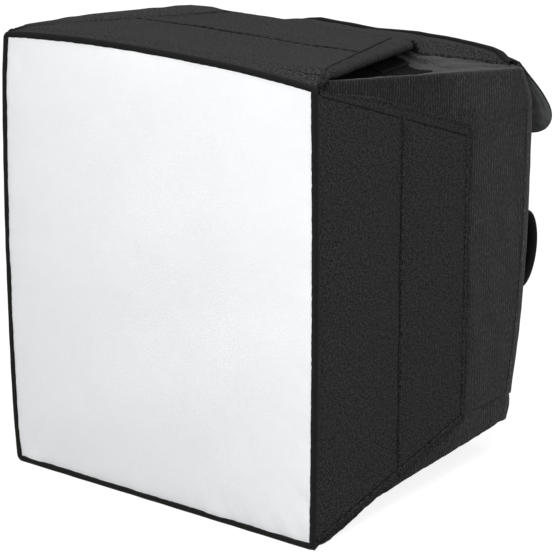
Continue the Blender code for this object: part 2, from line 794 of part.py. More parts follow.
def make_hook_tape(name, gusset):
    """Hook tape sewn on top of an upper gusset, under the rear corner strip."""
    depth = gusset[:, -1, 1] + ORIGIN_SETBACK
    rows = (depth > TAPE_START_DEPTH) & (depth < TAPE_END_DEPTH)
    patch = gusset[rows][:, -7:-3]
    along = np.gradient(patch, axis=0)
    across = np.gradient(patch, axis=1)
    normal = np.cross(along, across)
    normal /= np.linalg.norm(normal, axis=2, keepdims=True)
    normal *= np.sign(normal[:, :, 2:3])
    raised = patch + normal * (GUSSET_CLOTH / 2 + SEAT_GAP + TAPE_THICKNESS / 2)
    cloth_piece(name, raised, TAPE_THICKNESS, hook_tape())


def build():
    clear_scene()
    make_binding()
    make_diffuser()

    face_y = face_depth(0.0)
    quarter = math.pi / 2
    frames = {
        "right": frame_empty("right_wall", (FACE_WIDTH / 2, face_y, FACE_HEIGHT / 2),
                             (0.0, quarter, 0.0)),
        "left": frame_empty("left_wall", (-FACE_WIDTH / 2, face_y, FACE_HEIGHT / 2),
                            (0.0, -quarter, 0.0)),
        "top": frame_empty("top_wall", (0.0, face_y, FACE_HEIGHT)),
        "bottom": frame_empty("bottom_wall", (0.0, face_y, 0.0), (0.0, 2 * quarter, 0.0)),
    }

    for name, edges, up in (("right", right_edges, -1.0), ("left", left_edges, 1.0)):
        _, rear_axis = make_wall_panels(name, edges, frames[name], SIDE_HINGE_DEPTH)
        make_side_margin(name, edges, rear_axis, up)

    make_apron(frames["top"], "top_apron")
    front_axis, rear_axis = make_wall_panels("top", level_edges, frames["top"],
                                             LEVEL_HINGE_DEPTH, TOP_SLOPE)
    hem_axis = make_level_rear("top", rear_axis, TOP_MARGIN_FRONT_HALF_WIDTH,
                               TOP_MARGIN_REAR_HALF_WIDTH, TOP_BACK_LENGTH, TOP_MARGIN_DROP)
    shape = (TOP_MARGIN_REAR_HALF_WIDTH, TOP_MARGIN_REAR_HALF_WIDTH, TOP_TONGUE_LENGTH,
             TOP_TONGUE_CORNER_RADIUS, TOP_TONGUE_CURL)
    make_tongue("top_tongue", hem_axis, shape, TOP_TONGUE_DROOP)
    strip_start = LEVEL_HINGE_DEPTH + STRIP_START_SETBACK
    strip_end = PANEL_END_DEPTH - STRIP_END_SETBACK
    outer = PANEL_THICKNESS + AXIS_OFFSET
    for name, side, radius, lift in (("right", 1.0, RIGHT_ROLL_RADIUS, RIGHT_STRIP_LIFT),
                                     ("left", -1.0, LEFT_ROLL_RADIUS, LEFT_STRIP_LIFT)):
        make_strip(name + "_front_strip", side, strip_start, MID_FOLD_DEPTH - FOLD_PLAY,
                   LEVEL_HINGE_DEPTH, outer, radius, lift, front_axis)
        make_strip(name + "_rear_strip", side, MID_FOLD_DEPTH + FOLD_PLAY, strip_end,
                   MID_FOLD_DEPTH, -AXIS_OFFSET, radius, lift, rear_axis)
        make_loop_tape(name + "_loop_tape", side, lift, rear_axis)

    make_apron(frames["bottom"], "bottom_apron")
    _, rear_axis = make_wall_panels("bottom", level_edges, frames["bottom"], LEVEL_HINGE_DEPTH)
    hem_axis = make_level_rear("bottom", rear_axis, BOTTOM_MARGIN_FRONT_HALF_WIDTH,
                               BOTTOM_MARGIN_REAR_HALF_WIDTH, BOTTOM_BACK_LENGTH, 0.0)
    shape = (BOTTOM_TONGUE_BASE_HALF_WIDTH, BOTTOM_TONGUE_TIP_HALF_WIDTH, BOTTOM_TONGUE_LENGTH,
             BOTTOM_TONGUE_CORNER_RADIUS, 0.0)
    make_tongue("bottom_tongue", hem_axis, shape, 0.0)

    for side, name in ((1.0, "right"), (-1.0, "left")):
        upper = make_gusset("upper_" + name + "_gusset", side, True)
        make_hook_tape(name + "_hook_tape", upper)
        make_gusset("lower_" + name + "_gusset", side, False)


build()
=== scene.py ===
# %% [markdown]
# # A fold-flat softbox
#
# A small softbox straps over the head of a camera flash and spreads its light
# through a white cloth. It folds flat, so almost all of it is cloth: stiff
# boards sit in pockets of black nylon, stretch cloth fills the corners, and
# hook-and-loop tape holds it on the flash.
#
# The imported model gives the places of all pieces. This lesson dresses it. Every
# piece here is a surface worked out with numpy from two parameters, because
# folded cloth is easier to describe by a formula than by hand-placed points.

# %% Load the frame
import math

import bpy
import numpy as np
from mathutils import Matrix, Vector


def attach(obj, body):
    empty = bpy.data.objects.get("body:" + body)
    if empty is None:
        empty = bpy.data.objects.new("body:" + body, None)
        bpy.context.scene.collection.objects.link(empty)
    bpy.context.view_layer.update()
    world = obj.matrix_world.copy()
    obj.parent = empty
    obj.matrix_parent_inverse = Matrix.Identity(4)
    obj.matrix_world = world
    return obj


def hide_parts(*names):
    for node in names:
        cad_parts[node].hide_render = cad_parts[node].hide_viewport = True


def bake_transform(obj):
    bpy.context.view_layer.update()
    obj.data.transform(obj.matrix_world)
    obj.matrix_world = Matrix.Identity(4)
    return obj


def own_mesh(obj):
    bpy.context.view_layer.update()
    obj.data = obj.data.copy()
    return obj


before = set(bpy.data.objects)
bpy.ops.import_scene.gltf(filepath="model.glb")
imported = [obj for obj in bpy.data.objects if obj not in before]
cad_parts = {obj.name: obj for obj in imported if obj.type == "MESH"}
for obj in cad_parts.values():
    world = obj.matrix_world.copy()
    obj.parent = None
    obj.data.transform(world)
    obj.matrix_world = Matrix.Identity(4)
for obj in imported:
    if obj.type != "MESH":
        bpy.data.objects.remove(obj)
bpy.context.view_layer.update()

# %% [markdown]
# ## Sizes
#
# All cloth pieces hang on the same few lines of the box: the face, the fold in
# the middle of each wall, the end of the boarded panels and the rear hem. They
# are named once here, in metres, and every piece below reads them.

# %% The lines of the box
SIDES = ("right", "left")
LEVELS = ("top", "bottom")
HALF_WIDTH = 0.101
HEIGHT = 0.240
SETBACK = 0.100  # the face lies this far in front of the origin
SIDE_HINGE = 0.0024  # depth of the side walls' front fold
LEVEL_HINGE = 0.01175  # depth of the top and bottom walls' front fold
MID_FOLD = 0.072
PANEL_END = 0.132
PANEL = 0.0027  # thickness of a boarded panel
DEEP = PANEL + 0.00025  # how far under its outer surface the top wall folds
TAPER = 0.36  # how far a panel's slanted edge runs in per unit of depth
SLOPE = math.radians(2.6)
DROP = math.radians(12.5)
PLAY = 0.0004  # gap between neighbours
TOP_BACK = 0.050  # lengths of the top and bottom margins behind the boards
BOTTOM_BACK = 0.051
MARGIN_RUN = 0.055  # depth behind the boards at which a margin has its rear width
TOP_CORNER = 0.0973  # half width of the top margin there


def level_half(v):
    """Half width of the top and bottom panels: it shrinks evenly with depth."""
    return HALF_WIDTH - TAPER * v


def side_low(v):
    """Lower edge of a side panel: it climbs evenly and then stays level."""
    return 0.0045 + 0.215 * np.minimum(v, PANEL_END)


def side_high(v):
    """Upper edge of a side panel: it falls evenly and then stays level."""
    return HEIGHT - 0.0030 - TAPER * np.minimum(v, PANEL_END)


def hem_depth(z):
    """Depth of the side hem: upright above, then forward by the cube of the way down."""
    return 0.1952 - 0.0175 * np.clip((0.190 - z) / 0.172, 0, 1) ** 3.0


# %% [markdown]
# ## Helpers for surfaces
#
# A grid of points becomes a mesh by joining neighbours. The grid of a ring
# closes on itself. The UV map is in metres, so that a weave has its real size
# on every piece, however the piece is bent.

# %% From a grid of points to an object
def add_grid(name, points, uv, look, wrap=False, pole=False, wrap_rows=False):
    """Quads between neighbours of a (rows, columns, 3) grid.

    wrap joins the last column to the first, wrap_rows the last row to the
    first, and pole closes the last row with a fan round its middle.
    """
    rows, columns = points.shape[:2]
    number = np.arange(rows * columns).reshape(rows, columns)
    flat = points.reshape(-1, 3)
    flat_uv = uv.reshape(-1, 2)
    if wrap:
        number = np.concatenate([number, number[:, :1]], axis=1)
    if wrap_rows:
        number = np.concatenate([number, number[:1]], axis=0)
    quads = np.stack([number[:-1, :-1], number[:-1, 1:], number[1:, 1:], number[1:, :-1]],
                     axis=-1).reshape(-1, 4)
    faces = quads.tolist()
    corners = quads.ravel()
    if pole:
        centre = len(flat)
        flat = np.concatenate([flat, points[-1].mean(axis=0)[None]])
        flat_uv = np.concatenate([flat_uv, uv[-1].mean(axis=0)[None]])
        last = number[-1]
        fans = np.stack([last[:-1], last[1:], np.full(len(last) - 1, centre)], axis=-1)
        faces += fans.tolist()
        corners = np.concatenate([corners, fans.ravel()])
    return add_mesh(name, flat, faces, flat_uv[corners], look)


def add_mesh(name, points, faces, corner_uv, look):
    mesh = bpy.data.meshes.new(name)
    mesh.from_pydata(points.tolist(), [], faces)
    layer = mesh.uv_layers.new(name="cloth")
    layer.data.foreach_set("uv", corner_uv.astype(np.float32).ravel())
    mesh.shade_smooth()
    mesh.materials.append(look)
    piece = bpy.data.objects.new(name, mesh)
    bpy.context.scene.collection.objects.link(piece)
    return piece


def face_outwards(piece):
    """Turns a closed skin right side out: its signed volume must be positive."""
    mesh = piece.data
    mesh.calc_loop_triangles()
    co = np.zeros(len(mesh.vertices) * 3)
    mesh.vertices.foreach_get("co", co)
    triangles = np.zeros(len(mesh.loop_triangles) * 3, int)
    mesh.loop_triangles.foreach_get("vertices", triangles)
    a, b, c = co.reshape(-1, 3)[triangles.reshape(-1, 3)].transpose(1, 0, 2)
    if np.einsum("ij,ij->i", a, np.cross(b, c)).sum() < 0:
        mesh.flip_normals()
    return piece


def give_thickness(piece, thickness, side=0.0):
    """A cloth's thickness: side 0 puts it on both sides alike, -1 behind the surface."""
    solid = piece.modifiers.new("cloth", "SOLIDIFY")
    solid.thickness = thickness
    solid.offset = side
    return piece


def dress(piece, body, slot, *nodes):
    """Hangs a finished piece on its body, in place of the nodes it stands for."""
    if body is not None:
        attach(piece, body)
    if nodes:
        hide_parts(*nodes)
    return piece


def pair(a, b):
    """Two arrays as the two coordinates of a UV map."""
    return np.stack(np.broadcast_arrays(a, b), axis=-1)


def grid_area(points):
    """Area of a grid: half the cross product of each quad's diagonals, added up."""
    one = points[1:, 1:] - points[:-1, :-1]
    other = points[1:, :-1] - points[:-1, 1:]
    return 0.5 * np.linalg.norm(np.cross(one, other), axis=-1).sum()


def declare(piece, points, width, length, wrap=False):
    """Prints the cut of a sheet; its flat area is at least that of the grid."""
    if wrap:
        points = np.concatenate([points, points[:, :1]], axis=1)
    area = grid_area(points)
    if area > width * length:
        grow = math.sqrt(area / (width * length)) * 1.0005
        width, length = width * grow, length * grow
    print(piece.name, "cut from", round(width * 1000), "x", round(length * 1000), "mm")


def ripple(a, b, size, seed):
    """Uneven waves: six sine waves of random direction and similar length, averaged."""
    rng = np.random.default_rng(seed)
    angle = rng.uniform(0, 2 * np.pi, 6)
    length = size * rng.uniform(0.7, 1.6, 6)
    phase = rng.uniform(0, 2 * np.pi, 6)
    way = a[..., None] * np.cos(angle) + b[..., None] * np.sin(angle)
    return np.sin(2 * np.pi * way / length + phase).mean(axis=-1)


def smooth(x):
    """The S-shaped step from 0 to 1."""
    x = np.clip(x, 0, 1)
    return x * x * (3 - 2 * x)


# %% [markdown]
# ## Cloth materials
#
# Nylon pack cloth is a tight plain weave. Seen close, each crossing is a small
# bump, and from afar the cloth is matt with a faint sheen. A texture picture
# would do, but it would need unwrapping at one fixed size. Here the weave is
# computed from the UV map, which is in metres.

# %% Node helpers
def new_material(name, colour, roughness, sheen=0.0, metallic=0.0, shine=0.12):
    made = bpy.data.materials.new(name)
    made.use_nodes = True
    shader = made.node_tree.nodes["Principled BSDF"]
    shader.inputs["Base Color"].default_value = (*colour, 1)
    shader.inputs["Roughness"].default_value = roughness
    shader.inputs["Metallic"].default_value = metallic
    shader.inputs["Sheen Weight"].default_value = sheen
    shader.inputs["Sheen Roughness"].default_value = 0.5
    shader.inputs["Specular IOR Level"].default_value = shine
    return made, made.node_tree, shader


def connect(tree, socket, value):
    if isinstance(value, bpy.types.NodeSocket):
        tree.links.new(value, socket)
    else:
        socket.default_value = value


def calc(tree, operation, a, b=0.0, c=0.0):
    """One Math node; a, b and c are numbers or sockets."""
    made = tree.nodes.new("ShaderNodeMath")
    made.operation = operation
    for socket, value in zip(made.inputs, (a, b, c)):
        connect(tree, socket, value)
    return made.outputs[0]


def cloth_place(tree):
    """The two cloth coordinates of the UV map, in millimetres."""
    uv = tree.nodes.new("ShaderNodeUVMap")
    uv.uv_map = "cloth"
    split = tree.nodes.new("ShaderNodeSeparateXYZ")
    tree.links.new(uv.outputs[0], split.inputs[0])
    return (calc(tree, "MULTIPLY", split.outputs[0], 1000.0),
            calc(tree, "MULTIPLY", split.outputs[1], 1000.0), uv.outputs[0])


def wave(tree, place, pitch, power=1.0):
    """A ridge every pitch: the sine of pi times place over pitch, without its sign."""
    turned = calc(tree, "MULTIPLY", place, math.pi / pitch)
    ridge = calc(tree, "ABSOLUTE", calc(tree, "SINE", turned))
    return calc(tree, "POWER", ridge, power)


def weave(tree, u, v, pitch):
    """Crossings of a plain weave: the product of two sine waves, raised to lie in 0 to 1."""
    across = calc(tree, "SINE", calc(tree, "MULTIPLY", u, math.pi / pitch))
    along = calc(tree, "SINE", calc(tree, "MULTIPLY", v, math.pi / pitch))
    return calc(tree, "MULTIPLY_ADD", calc(tree, "MULTIPLY", across, along), 0.5, 0.5)


def cloud(tree, place, scale, detail=3.0):
    made = tree.nodes.new("ShaderNodeTexNoise")
    made.inputs["Scale"].default_value = scale
    made.inputs["Detail"].default_value = detail
    tree.links.new(place, made.inputs["Vector"])
    return made.outputs[0]


def tint(tree, shader, share, dark, light):
    """Base colour between dark and light by a share from 0 to 1."""
    ramp = tree.nodes.new("ShaderNodeMix")
    ramp.data_type = "RGBA"
    connect(tree, ramp.inputs[0], share)
    ramp.inputs[6].default_value = (*dark, 1)
    ramp.inputs[7].default_value = (*light, 1)
    tree.links.new(ramp.outputs[2], shader.inputs["Base Color"])


def emboss(tree, shader, height, distance, strength=1.0):
    bump = tree.nodes.new("ShaderNodeBump")
    bump.inputs["Distance"].default_value = distance
    bump.inputs["Strength"].default_value = strength
    connect(tree, bump.inputs["Height"], height)
    tree.links.new(bump.outputs[0], shader.inputs["Normal"])


# %% Nylon, stretch cloth, tape and thread
def make_nylon():
    """Plain weave in black: a fine grain, broad mottling and single paler threads."""
    made, tree, shader = new_material("pack_nylon", (0.020, 0.020, 0.022), 0.66,
                                      sheen=0.02, shine=0.04)
    u, v, uv = cloth_place(tree)
    grain = weave(tree, u, v, 0.62)
    specks = cloud(tree, uv, 1250.0, 2.0)
    patches = cloud(tree, uv, 480.0, 2.0)
    broad = calc(tree, "MULTIPLY_ADD", patches, 1.00, -0.25)
    share = calc(tree, "MULTIPLY_ADD", grain, 0.20, broad)
    share = calc(tree, "MULTIPLY_ADD", specks, 2.80, calc(tree, "SUBTRACT", share, 1.38))
    tint(tree, shader, share, (0.0010, 0.0010, 0.0012), (0.064, 0.065, 0.068))
    rough = calc(tree, "MULTIPLY_ADD", patches, 0.22, 0.55)
    tree.links.new(rough, shader.inputs["Roughness"])
    emboss(tree, shader, calc(tree, "MULTIPLY_ADD", specks, 1.8, grain), 0.00034)
    return made


def make_stretch(name, dark, light, sheen, fade=0.0):
    """Ribbed stretch cloth: a rib every 2.2 mm, broken into uneven columns of pale dashes.

    The dashes are noise drawn out along the rib by scaling its two coordinates
    differently, and they show only where a rib and a broad patch agree. In
    front fade darkens the colour as painted shade, up to 140 mm of depth.
    """
    made, tree, shader = new_material(name, (0.02, 0.02, 0.02), 0.80, sheen=sheen)
    u, v, uv = cloth_place(tree)
    wander = calc(tree, "MULTIPLY", cloud(tree, uv, 45.0, 2.0), 6.0)
    rib = wave(tree, calc(tree, "ADD", v, wander), 2.2, 2.0)
    drawn = tree.nodes.new("ShaderNodeCombineXYZ")
    tree.links.new(calc(tree, "MULTIPLY", u, 0.45), drawn.inputs[0])
    tree.links.new(calc(tree, "MULTIPLY", v, 1.1), drawn.inputs[1])
    dashes = cloud(tree, drawn.outputs[0], 1.0, 2.0)
    patches = cloud(tree, uv, 70.0)
    specks = cloud(tree, uv, 1300.0, 2.0)
    seen = calc(tree, "MAXIMUM", calc(tree, "MULTIPLY_ADD", dashes, 3.2, -1.35), 0.0)
    pale = calc(tree, "MULTIPLY", calc(tree, "MULTIPLY", rib, seen), patches)
    share = calc(tree, "MULTIPLY_ADD", pale, 1.9, calc(tree, "MULTIPLY", specks, 1.3))
    share = calc(tree, "SUBTRACT", share, 0.50)
    if fade:
        # painted shade: tight is its share, full up to 80 mm of depth and none from 140 mm
        tight = calc(tree, "MAXIMUM", calc(tree, "MULTIPLY_ADD", v, -1 / 60, 140 / 60), 0.0)
        share = calc(tree, "MULTIPLY_ADD", calc(tree, "MINIMUM", tight, 1.0), -fade, share)
    tint(tree, shader, share, dark, light)
    height = calc(tree, "MULTIPLY_ADD", calc(tree, "MULTIPLY", rib, seen), 1.2, specks)
    emboss(tree, shader, height, 0.00036)
    return made


def make_tape():
    """Grosgrain tape: fine cords across its width."""
    made, tree, shader = new_material("grosgrain_tape", (0.006, 0.006, 0.006), 0.72, sheen=0.015)
    _, v, uv = cloth_place(tree)
    cords = wave(tree, v, 0.8, 0.7)
    patches = cloud(tree, uv, 300.0)
    tint(tree, shader, calc(tree, "MULTIPLY_ADD", cords, 0.5, calc(tree, "MULTIPLY", patches, 0.5)),
         (0.0025, 0.0027, 0.0025), (0.0105, 0.0110, 0.0105))
    emboss(tree, shader, cords, 0.00022)
    return made


def make_thread():
    """Spun thread: two plies that wind round each other, seen as slanted bands."""
    made, tree, shader = new_material("black_thread", (0.004, 0.004, 0.004), 0.6, sheen=0.02)
    u, v, _ = cloth_place(tree)
    plies = wave(tree, calc(tree, "ADD", u, v), 0.35, 1.0)
    tint(tree, shader, plies, (0.0015, 0.0015, 0.0015), (0.009, 0.009, 0.009))
    emboss(tree, shader, plies, 0.00012)
    return made


nylon = make_nylon()
# fade: painted shade on the ribbed cloth towards the face
stretch = make_stretch("ribbed_stretch", (0.0010, 0.0010, 0.0012), (0.070, 0.070, 0.073), 0.07,
                       fade=0.42)
# A lighter copy of the ribbed cloth: painted light on the gusset's top, past the crease, where the
# light from above falls.
lit_top_stretch = make_stretch("lit_top_stretch", (0.011, 0.011, 0.0115), (0.050, 0.050, 0.053), 0.12)
# A lighter copy of the ribbed cloth for the turned hems: a painted highlight along the rear edges.
highlit_hem = make_stretch("highlit_hem_stretch", (0.020, 0.020, 0.020), (0.088, 0.088, 0.090), 0.10)
tape = make_tape()
thread = make_thread()
print("materials:", nylon.name, stretch.name, tape.name, thread.name)

# %% [markdown]
# The face is a thin white polyester that lets light through, with a very fine
# weave. The inside of the walls is a silvered film over the boards. The boards
# are pressed paper. The pile is a felt of tiny loops, and the hook tape is
# stiff nylon.

# %% White cloth, silver, board, pile and hooks
def make_white():
    made, tree, shader = new_material("white_polyester", (0.86, 0.87, 0.885), 0.62,
                                      sheen=0.05, shine=0.3)
    u, v, uv = cloth_place(tree)
    grain = weave(tree, u, v, 0.45)
    patches = cloud(tree, uv, 42.0, 4.0)
    tint(tree, shader, calc(tree, "MULTIPLY_ADD", grain, 0.3, calc(tree, "MULTIPLY", patches, 0.7)),
         (0.825, 0.838, 0.858), (0.905, 0.912, 0.922))
    emboss(tree, shader, calc(tree, "MULTIPLY_ADD", patches, 2.2, grain), 0.00011)
    return made


def make_silver():
    made, tree, shader = new_material("silvered_film", (0.66, 0.67, 0.69), 0.34,
                                      metallic=0.85, shine=0.5)
    u, v, uv = cloth_place(tree)
    crinkle = cloud(tree, uv, 190.0, 5.0)
    tint(tree, shader, crinkle, (0.50, 0.51, 0.52), (0.78, 0.79, 0.80))
    tree.links.new(calc(tree, "MULTIPLY_ADD", crinkle, 0.35, 0.20), shader.inputs["Roughness"])
    lattice = calc(tree, "MULTIPLY", weave(tree, u, v, 2.4), 0.25)
    emboss(tree, shader, calc(tree, "ADD", crinkle, lattice), 0.0009)
    return made


def make_board():
    made, tree, shader = new_material("pressed_board", (0.30, 0.29, 0.27), 0.85)
    place = tree.nodes.new("ShaderNodeTexCoord")
    fibres = cloud(tree, place.outputs["Object"], 420.0, 6.0)
    tint(tree, shader, fibres, (0.20, 0.19, 0.17), (0.37, 0.36, 0.34))
    emboss(tree, shader, fibres, 0.0003)
    return made


def make_pile(name, dark, light, sheen):
    made, tree, shader = new_material(name, light, 0.92, sheen=sheen)
    _, _, uv = cloth_place(tree)
    tufts = cloud(tree, uv, 1100.0, 3.0)
    patches = cloud(tree, uv, 160.0, 3.0)
    tint(tree, shader, calc(tree, "MULTIPLY", tufts, patches), dark, light)
    emboss(tree, shader, tufts, 0.0006)
    return made


def make_hooks():
    made, tree, shader = new_material("hook_tape", (0.02, 0.02, 0.021), 0.5)
    _, v, _ = cloth_place(tree)
    rows = wave(tree, v, 0.9, 1.0)
    tint(tree, shader, rows, (0.002, 0.002, 0.002), (0.012, 0.012, 0.012))
    emboss(tree, shader, rows, 0.0003)
    return made


white = make_white()
silver = make_silver()
board = make_board()
# Loop pile: its own greenish grey, made about three times paler as painted light, since it lies in
# shade under the strips and on the tongues.
pile = make_pile("loop_pile", (0.035, 0.039, 0.036), (0.42, 0.45, 0.42), 0.20)
# A near-black pile used as painted shade: the sheet on the gusset under each strip, and the frayed
# fibres.
felt = make_pile("painted_shade_felt", (0.0010, 0.0010, 0.0010), (0.0100, 0.0095, 0.0090), 0.0)
hooks = make_hooks()
for name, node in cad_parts.items():
    if name.endswith("_board"):
        node.data.materials.clear()
        node.data.materials.append(board)
print("boards:", sum(name.endswith("_board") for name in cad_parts))

# %% [markdown]
# ## Where a wall is
#
# A wall is cut flat: u across, v from the face to the rear, w outwards. One
# function places such points, so that a panel is drawn once and fits all four
# walls. The top wall slopes a little, and more behind the boards.

# %% From the flat wall to the box
def on_wall(wall, u, v, w):
    """Place of a wall's points.

    Side and bottom walls are turned by quarter turns. The top wall is turned
    about its folds: by SLOPE behind the first and by DROP more behind the last.
    """
    u, v, w = np.broadcast_arrays(u, v, w)
    if wall == "right":
        return np.stack([HALF_WIDTH + w, v - SETBACK, HEIGHT / 2 - u], axis=-1)
    if wall == "left":
        return np.stack([-HALF_WIDTH - w, v - SETBACK, HEIGHT / 2 + u], axis=-1)
    if wall == "bottom":
        return np.stack([-u, v - SETBACK, -w], axis=-1)
    behind = v > PANEL_END
    turn = np.where(behind, SLOPE + DROP, np.where(v > LEVEL_HINGE, SLOPE, 0.0))
    boards = PANEL_END - LEVEL_HINGE
    start_y = LEVEL_HINGE + np.where(behind, boards * math.cos(SLOPE), 0.0)
    start_z = HEIGHT - DEEP - np.where(behind, boards * math.sin(SLOPE), 0.0)
    run = v - np.where(behind, PANEL_END, LEVEL_HINGE)
    lift = w + DEEP
    return np.stack([u, start_y + run * np.cos(turn) + lift * np.sin(turn) - SETBACK,
                     start_z - run * np.sin(turn) + lift * np.cos(turn)], axis=-1)


def across_side(wall, z):
    """Place u across a side wall at height z: u runs down on the right and up on the left."""
    return HEIGHT / 2 - z if wall == "right" else z - HEIGHT / 2


def edges_of(wall, v):
    """Lowest and highest u of a wall at depth v."""
    if wall in LEVELS:
        return -level_half(v), level_half(v)
    ends = across_side(wall, side_low(v)), across_side(wall, side_high(v))
    return ends[::-1] if wall == "right" else ends


def outwards(wall, u, v, w):
    """Two millimetres outwards from points of a wall, as vectors."""
    return on_wall(wall, u, v, w + 0.002) - on_wall(wall, u, v, w)


ARCH = 0.0046


def arch(x):
    """The face's upper edge bows up: full height in the middle, none at the corners."""
    return ARCH * (1 - np.clip(np.abs(x) / HALF_WIDTH, 0, 1) ** 2.4)


def outline_ring(corners, inset, radius, side_points=72, corner_points=7):
    """Outline of a four-cornered shape, moved inwards, with round corners.

    A corner's arc has its centre at inset plus radius from both sides: the
    corner plus that distance times the sum of both inward normals, over one
    plus their product. The sides run straight between the arcs.
    """
    corners = np.array(corners, float)
    along = np.roll(corners, -1, axis=0) - corners
    along /= np.linalg.norm(along, axis=1, keepdims=True)
    normal = np.stack([-along[:, 1], along[:, 0]], axis=1)
    before = np.roll(normal, 1, axis=0)
    reach = (before + normal) / (1 + (before * normal).sum(axis=1, keepdims=True))
    centre = corners + (inset + radius) * reach
    share = np.linspace(0, 1, corner_points)[None, :, None]
    turned = before[:, None] * (1 - share) + normal[:, None] * share
    turned /= np.linalg.norm(turned, axis=2, keepdims=True)
    arcs = centre[:, None] - radius * turned
    share = np.linspace(0, 1, side_points + 2)[None, 1:-1, None]
    start = arcs[:, -1:]
    end = np.roll(arcs[:, :1], -1, axis=0)
    sides = start * (1 - share) + end * share
    return np.concatenate([arcs, sides], axis=1).reshape(-1, 2)


def travelled(ring):
    """Distance along a closed ring from its first point."""
    step = np.linalg.norm(np.roll(ring, -1, axis=0) - ring, axis=1)
    return np.concatenate([[0.0], np.cumsum(step)[:-1]])


# %% [markdown]
# ## The face
#
# The white cloth is sewn under a narrow black tape that runs right round. The
# tape is soft, so the face is not a true rectangle: its upper and left edges
# bow out. Rings at growing distances from the edge describe the cloth best,
# because its small puckers sit where it is gathered into the tape.

# %% Binding tape and white cloth
TAPE_WIDTH = 0.0035
TAPE_FRONT = 0.0011
TAPE_BACK = 0.0024
FACE = [(-HALF_WIDTH, 0), (HALF_WIDTH, 0), (HALF_WIDTH, HEIGHT), (-HALF_WIDTH, HEIGHT)]
FACE_RADIUS = 0.0034


def bowed(x, z):
    """Bows the face: up by arch(x), out by up to 5 mm at the left and 1 mm at the right."""
    rise = arch(x) * smooth(z / HEIGHT * 1.15 - 0.15)
    upright = 1 - (2 * z / HEIGHT - 1) ** 2
    left = smooth((0.02 - x) / 0.12)
    right = smooth((x - 0.05) / 0.05)
    out = 0.0024 * upright + 0.0026 * (1 - 0.6 * (2 * z / HEIGHT - 1) ** 8)
    return x - out * left + 0.0009 * upright * right, z + rise


def face_points(ring, deep):
    x, z = bowed(ring[:, 0], ring[:, 1])
    return np.stack([x, np.broadcast_to(deep, x.shape) - SETBACK, z], axis=1)


def make_binding():
    """An oval section carried round the face; the tape is pulled wavy by its seam."""
    sides = 18
    turn = np.linspace(0, 2 * np.pi, sides, endpoint=False)
    across = TAPE_WIDTH / 2 * (1 - np.cos(turn))
    middle = (TAPE_BACK - TAPE_FRONT) / 2
    half = (TAPE_BACK + TAPE_FRONT) / 2
    deep = middle + half * np.sign(np.sin(turn)) * np.abs(np.sin(turn)) ** 0.7
    rings, maps = [], []
    for index in range(sides):
        ring = outline_ring(FACE, across[index], FACE_RADIUS - across[index], 110, 12)
        way = travelled(ring)
        wavy = 0.00022 * ripple(way, 0 * way + index * 0.001, 0.018, 3)
        pucker = 0.00016 * np.sin(2 * np.pi * way / 0.0052) * math.sin(turn[index] / 2) ** 2
        if across[index] > 0.0012:
            creep = (0.00028 * ripple(way, 0 * way, 0.007, 9)
                     + 0.00016 * ripple(way, 0 * way, 0.0025, 10))
            inward = np.array([0.0, HEIGHT / 2]) - ring
            inward = inward / np.linalg.norm(inward, axis=1)[:, None]
            ring = ring + inward * creep[:, None]
        rings.append(face_points(ring, deep[index] + wavy - pucker))
        maps.append(np.stack([np.full(len(way), turn[index] * 0.0009), way], axis=1))
    piece = add_grid("binding_tape", np.array(rings), np.array(maps), tape, wrap=True,
                     wrap_rows=True)
    face_outwards(piece)
    dress(piece, "front_frame", "edge_tape", "face_binding")


def make_face():
    """Rings from the tape inwards, then shrunk copies of the last ring to the middle.

    The cloth crowns forward by up to 4 mm. For each direction, take one minus
    the square of the share from middle to edge; the crown is their product to
    the power of 0.6. Puckers fade out within millimetres of the tape.
    """
    inset = 0.0016
    rings = []
    for step in (0.0, 0.0008, 0.0014, 0.002, 0.003, 0.0045, 0.0065, 0.009, 0.013, 0.018, 0.025):
        radius = max(FACE_RADIUS - inset - step, 0.0016)
        rings.append(outline_ring(FACE, inset + step, radius, 110, 12))
    last = rings[-1]
    middle = np.array([0.0, HEIGHT / 2])
    for share in (0.9, 0.8, 0.7, 0.6, 0.5, 0.4, 0.3, 0.2, 0.1, 0.03):
        rings.append(middle + (last - middle) * share)
    rings = np.array(rings)
    edge = np.minimum.reduce([HALF_WIDTH - np.abs(rings[..., 0]), rings[..., 1],
                              HEIGHT - rings[..., 1]]) - inset
    way = np.broadcast_to(travelled(rings[0]), edge.shape)
    far_x = np.clip(np.abs(rings[..., 0]) / (HALF_WIDTH - inset), 0, 1)
    far_z = np.clip(np.abs(rings[..., 1] / HEIGHT * 2 - 1) * HEIGHT / (HEIGHT - 2 * inset), 0, 1)
    inside = (1 - far_x ** 2) * (1 - far_z ** 2)
    crown = 0.0040 * inside ** 0.6
    near = np.exp(-edge / 0.0075)
    corner = np.exp(-((HALF_WIDTH - np.abs(rings[..., 0])) ** 2
                      + (HEIGHT / 2 - np.abs(rings[..., 1] - HEIGHT / 2)) ** 2) / 0.022 ** 2)
    gathers = 0.00030 * ripple(way, way * 0, 0.0085, 5) + 0.00040 * ripple(way, way * 0, 0.024, 6)
    drag = 0.0009 * corner * ripple(rings[..., 0], rings[..., 1] * 0.6, 0.016, 7)
    loose = 0.0008 * ripple(rings[..., 0], rings[..., 1], 0.075, 8) * inside ** 0.3
    tuck = 0.0011 * np.exp(-edge / 0.0011)
    deep = -crown + near * gathers + drag + loose + tuck
    x, z = bowed(rings[..., 0], rings[..., 1])
    points = np.stack([x, deep - SETBACK, z], axis=-1)
    piece = add_grid("face_cloth", points, rings, white, wrap=True, pole=True)
    face_outwards(piece)
    give_thickness(piece, 0.0006, -1.0)
    dress(piece, "front_frame", "diffuser_cloth", "diffuser")
    declare(piece, points, 0.200, 0.240, wrap=True)
    return piece


make_binding()
face = make_face()
print("face cloth:", len(face.data.polygons), "faces")

# %% [markdown]
# ## Stitches
#
# Lock stitches are short beads of thread that dip into the cloth at both ends.
# They could be a bump in the material, but real beads catch the light and hold
# up close to the camera. One bead has 20 faces and is copied along a seam by
# arithmetic on arrays.

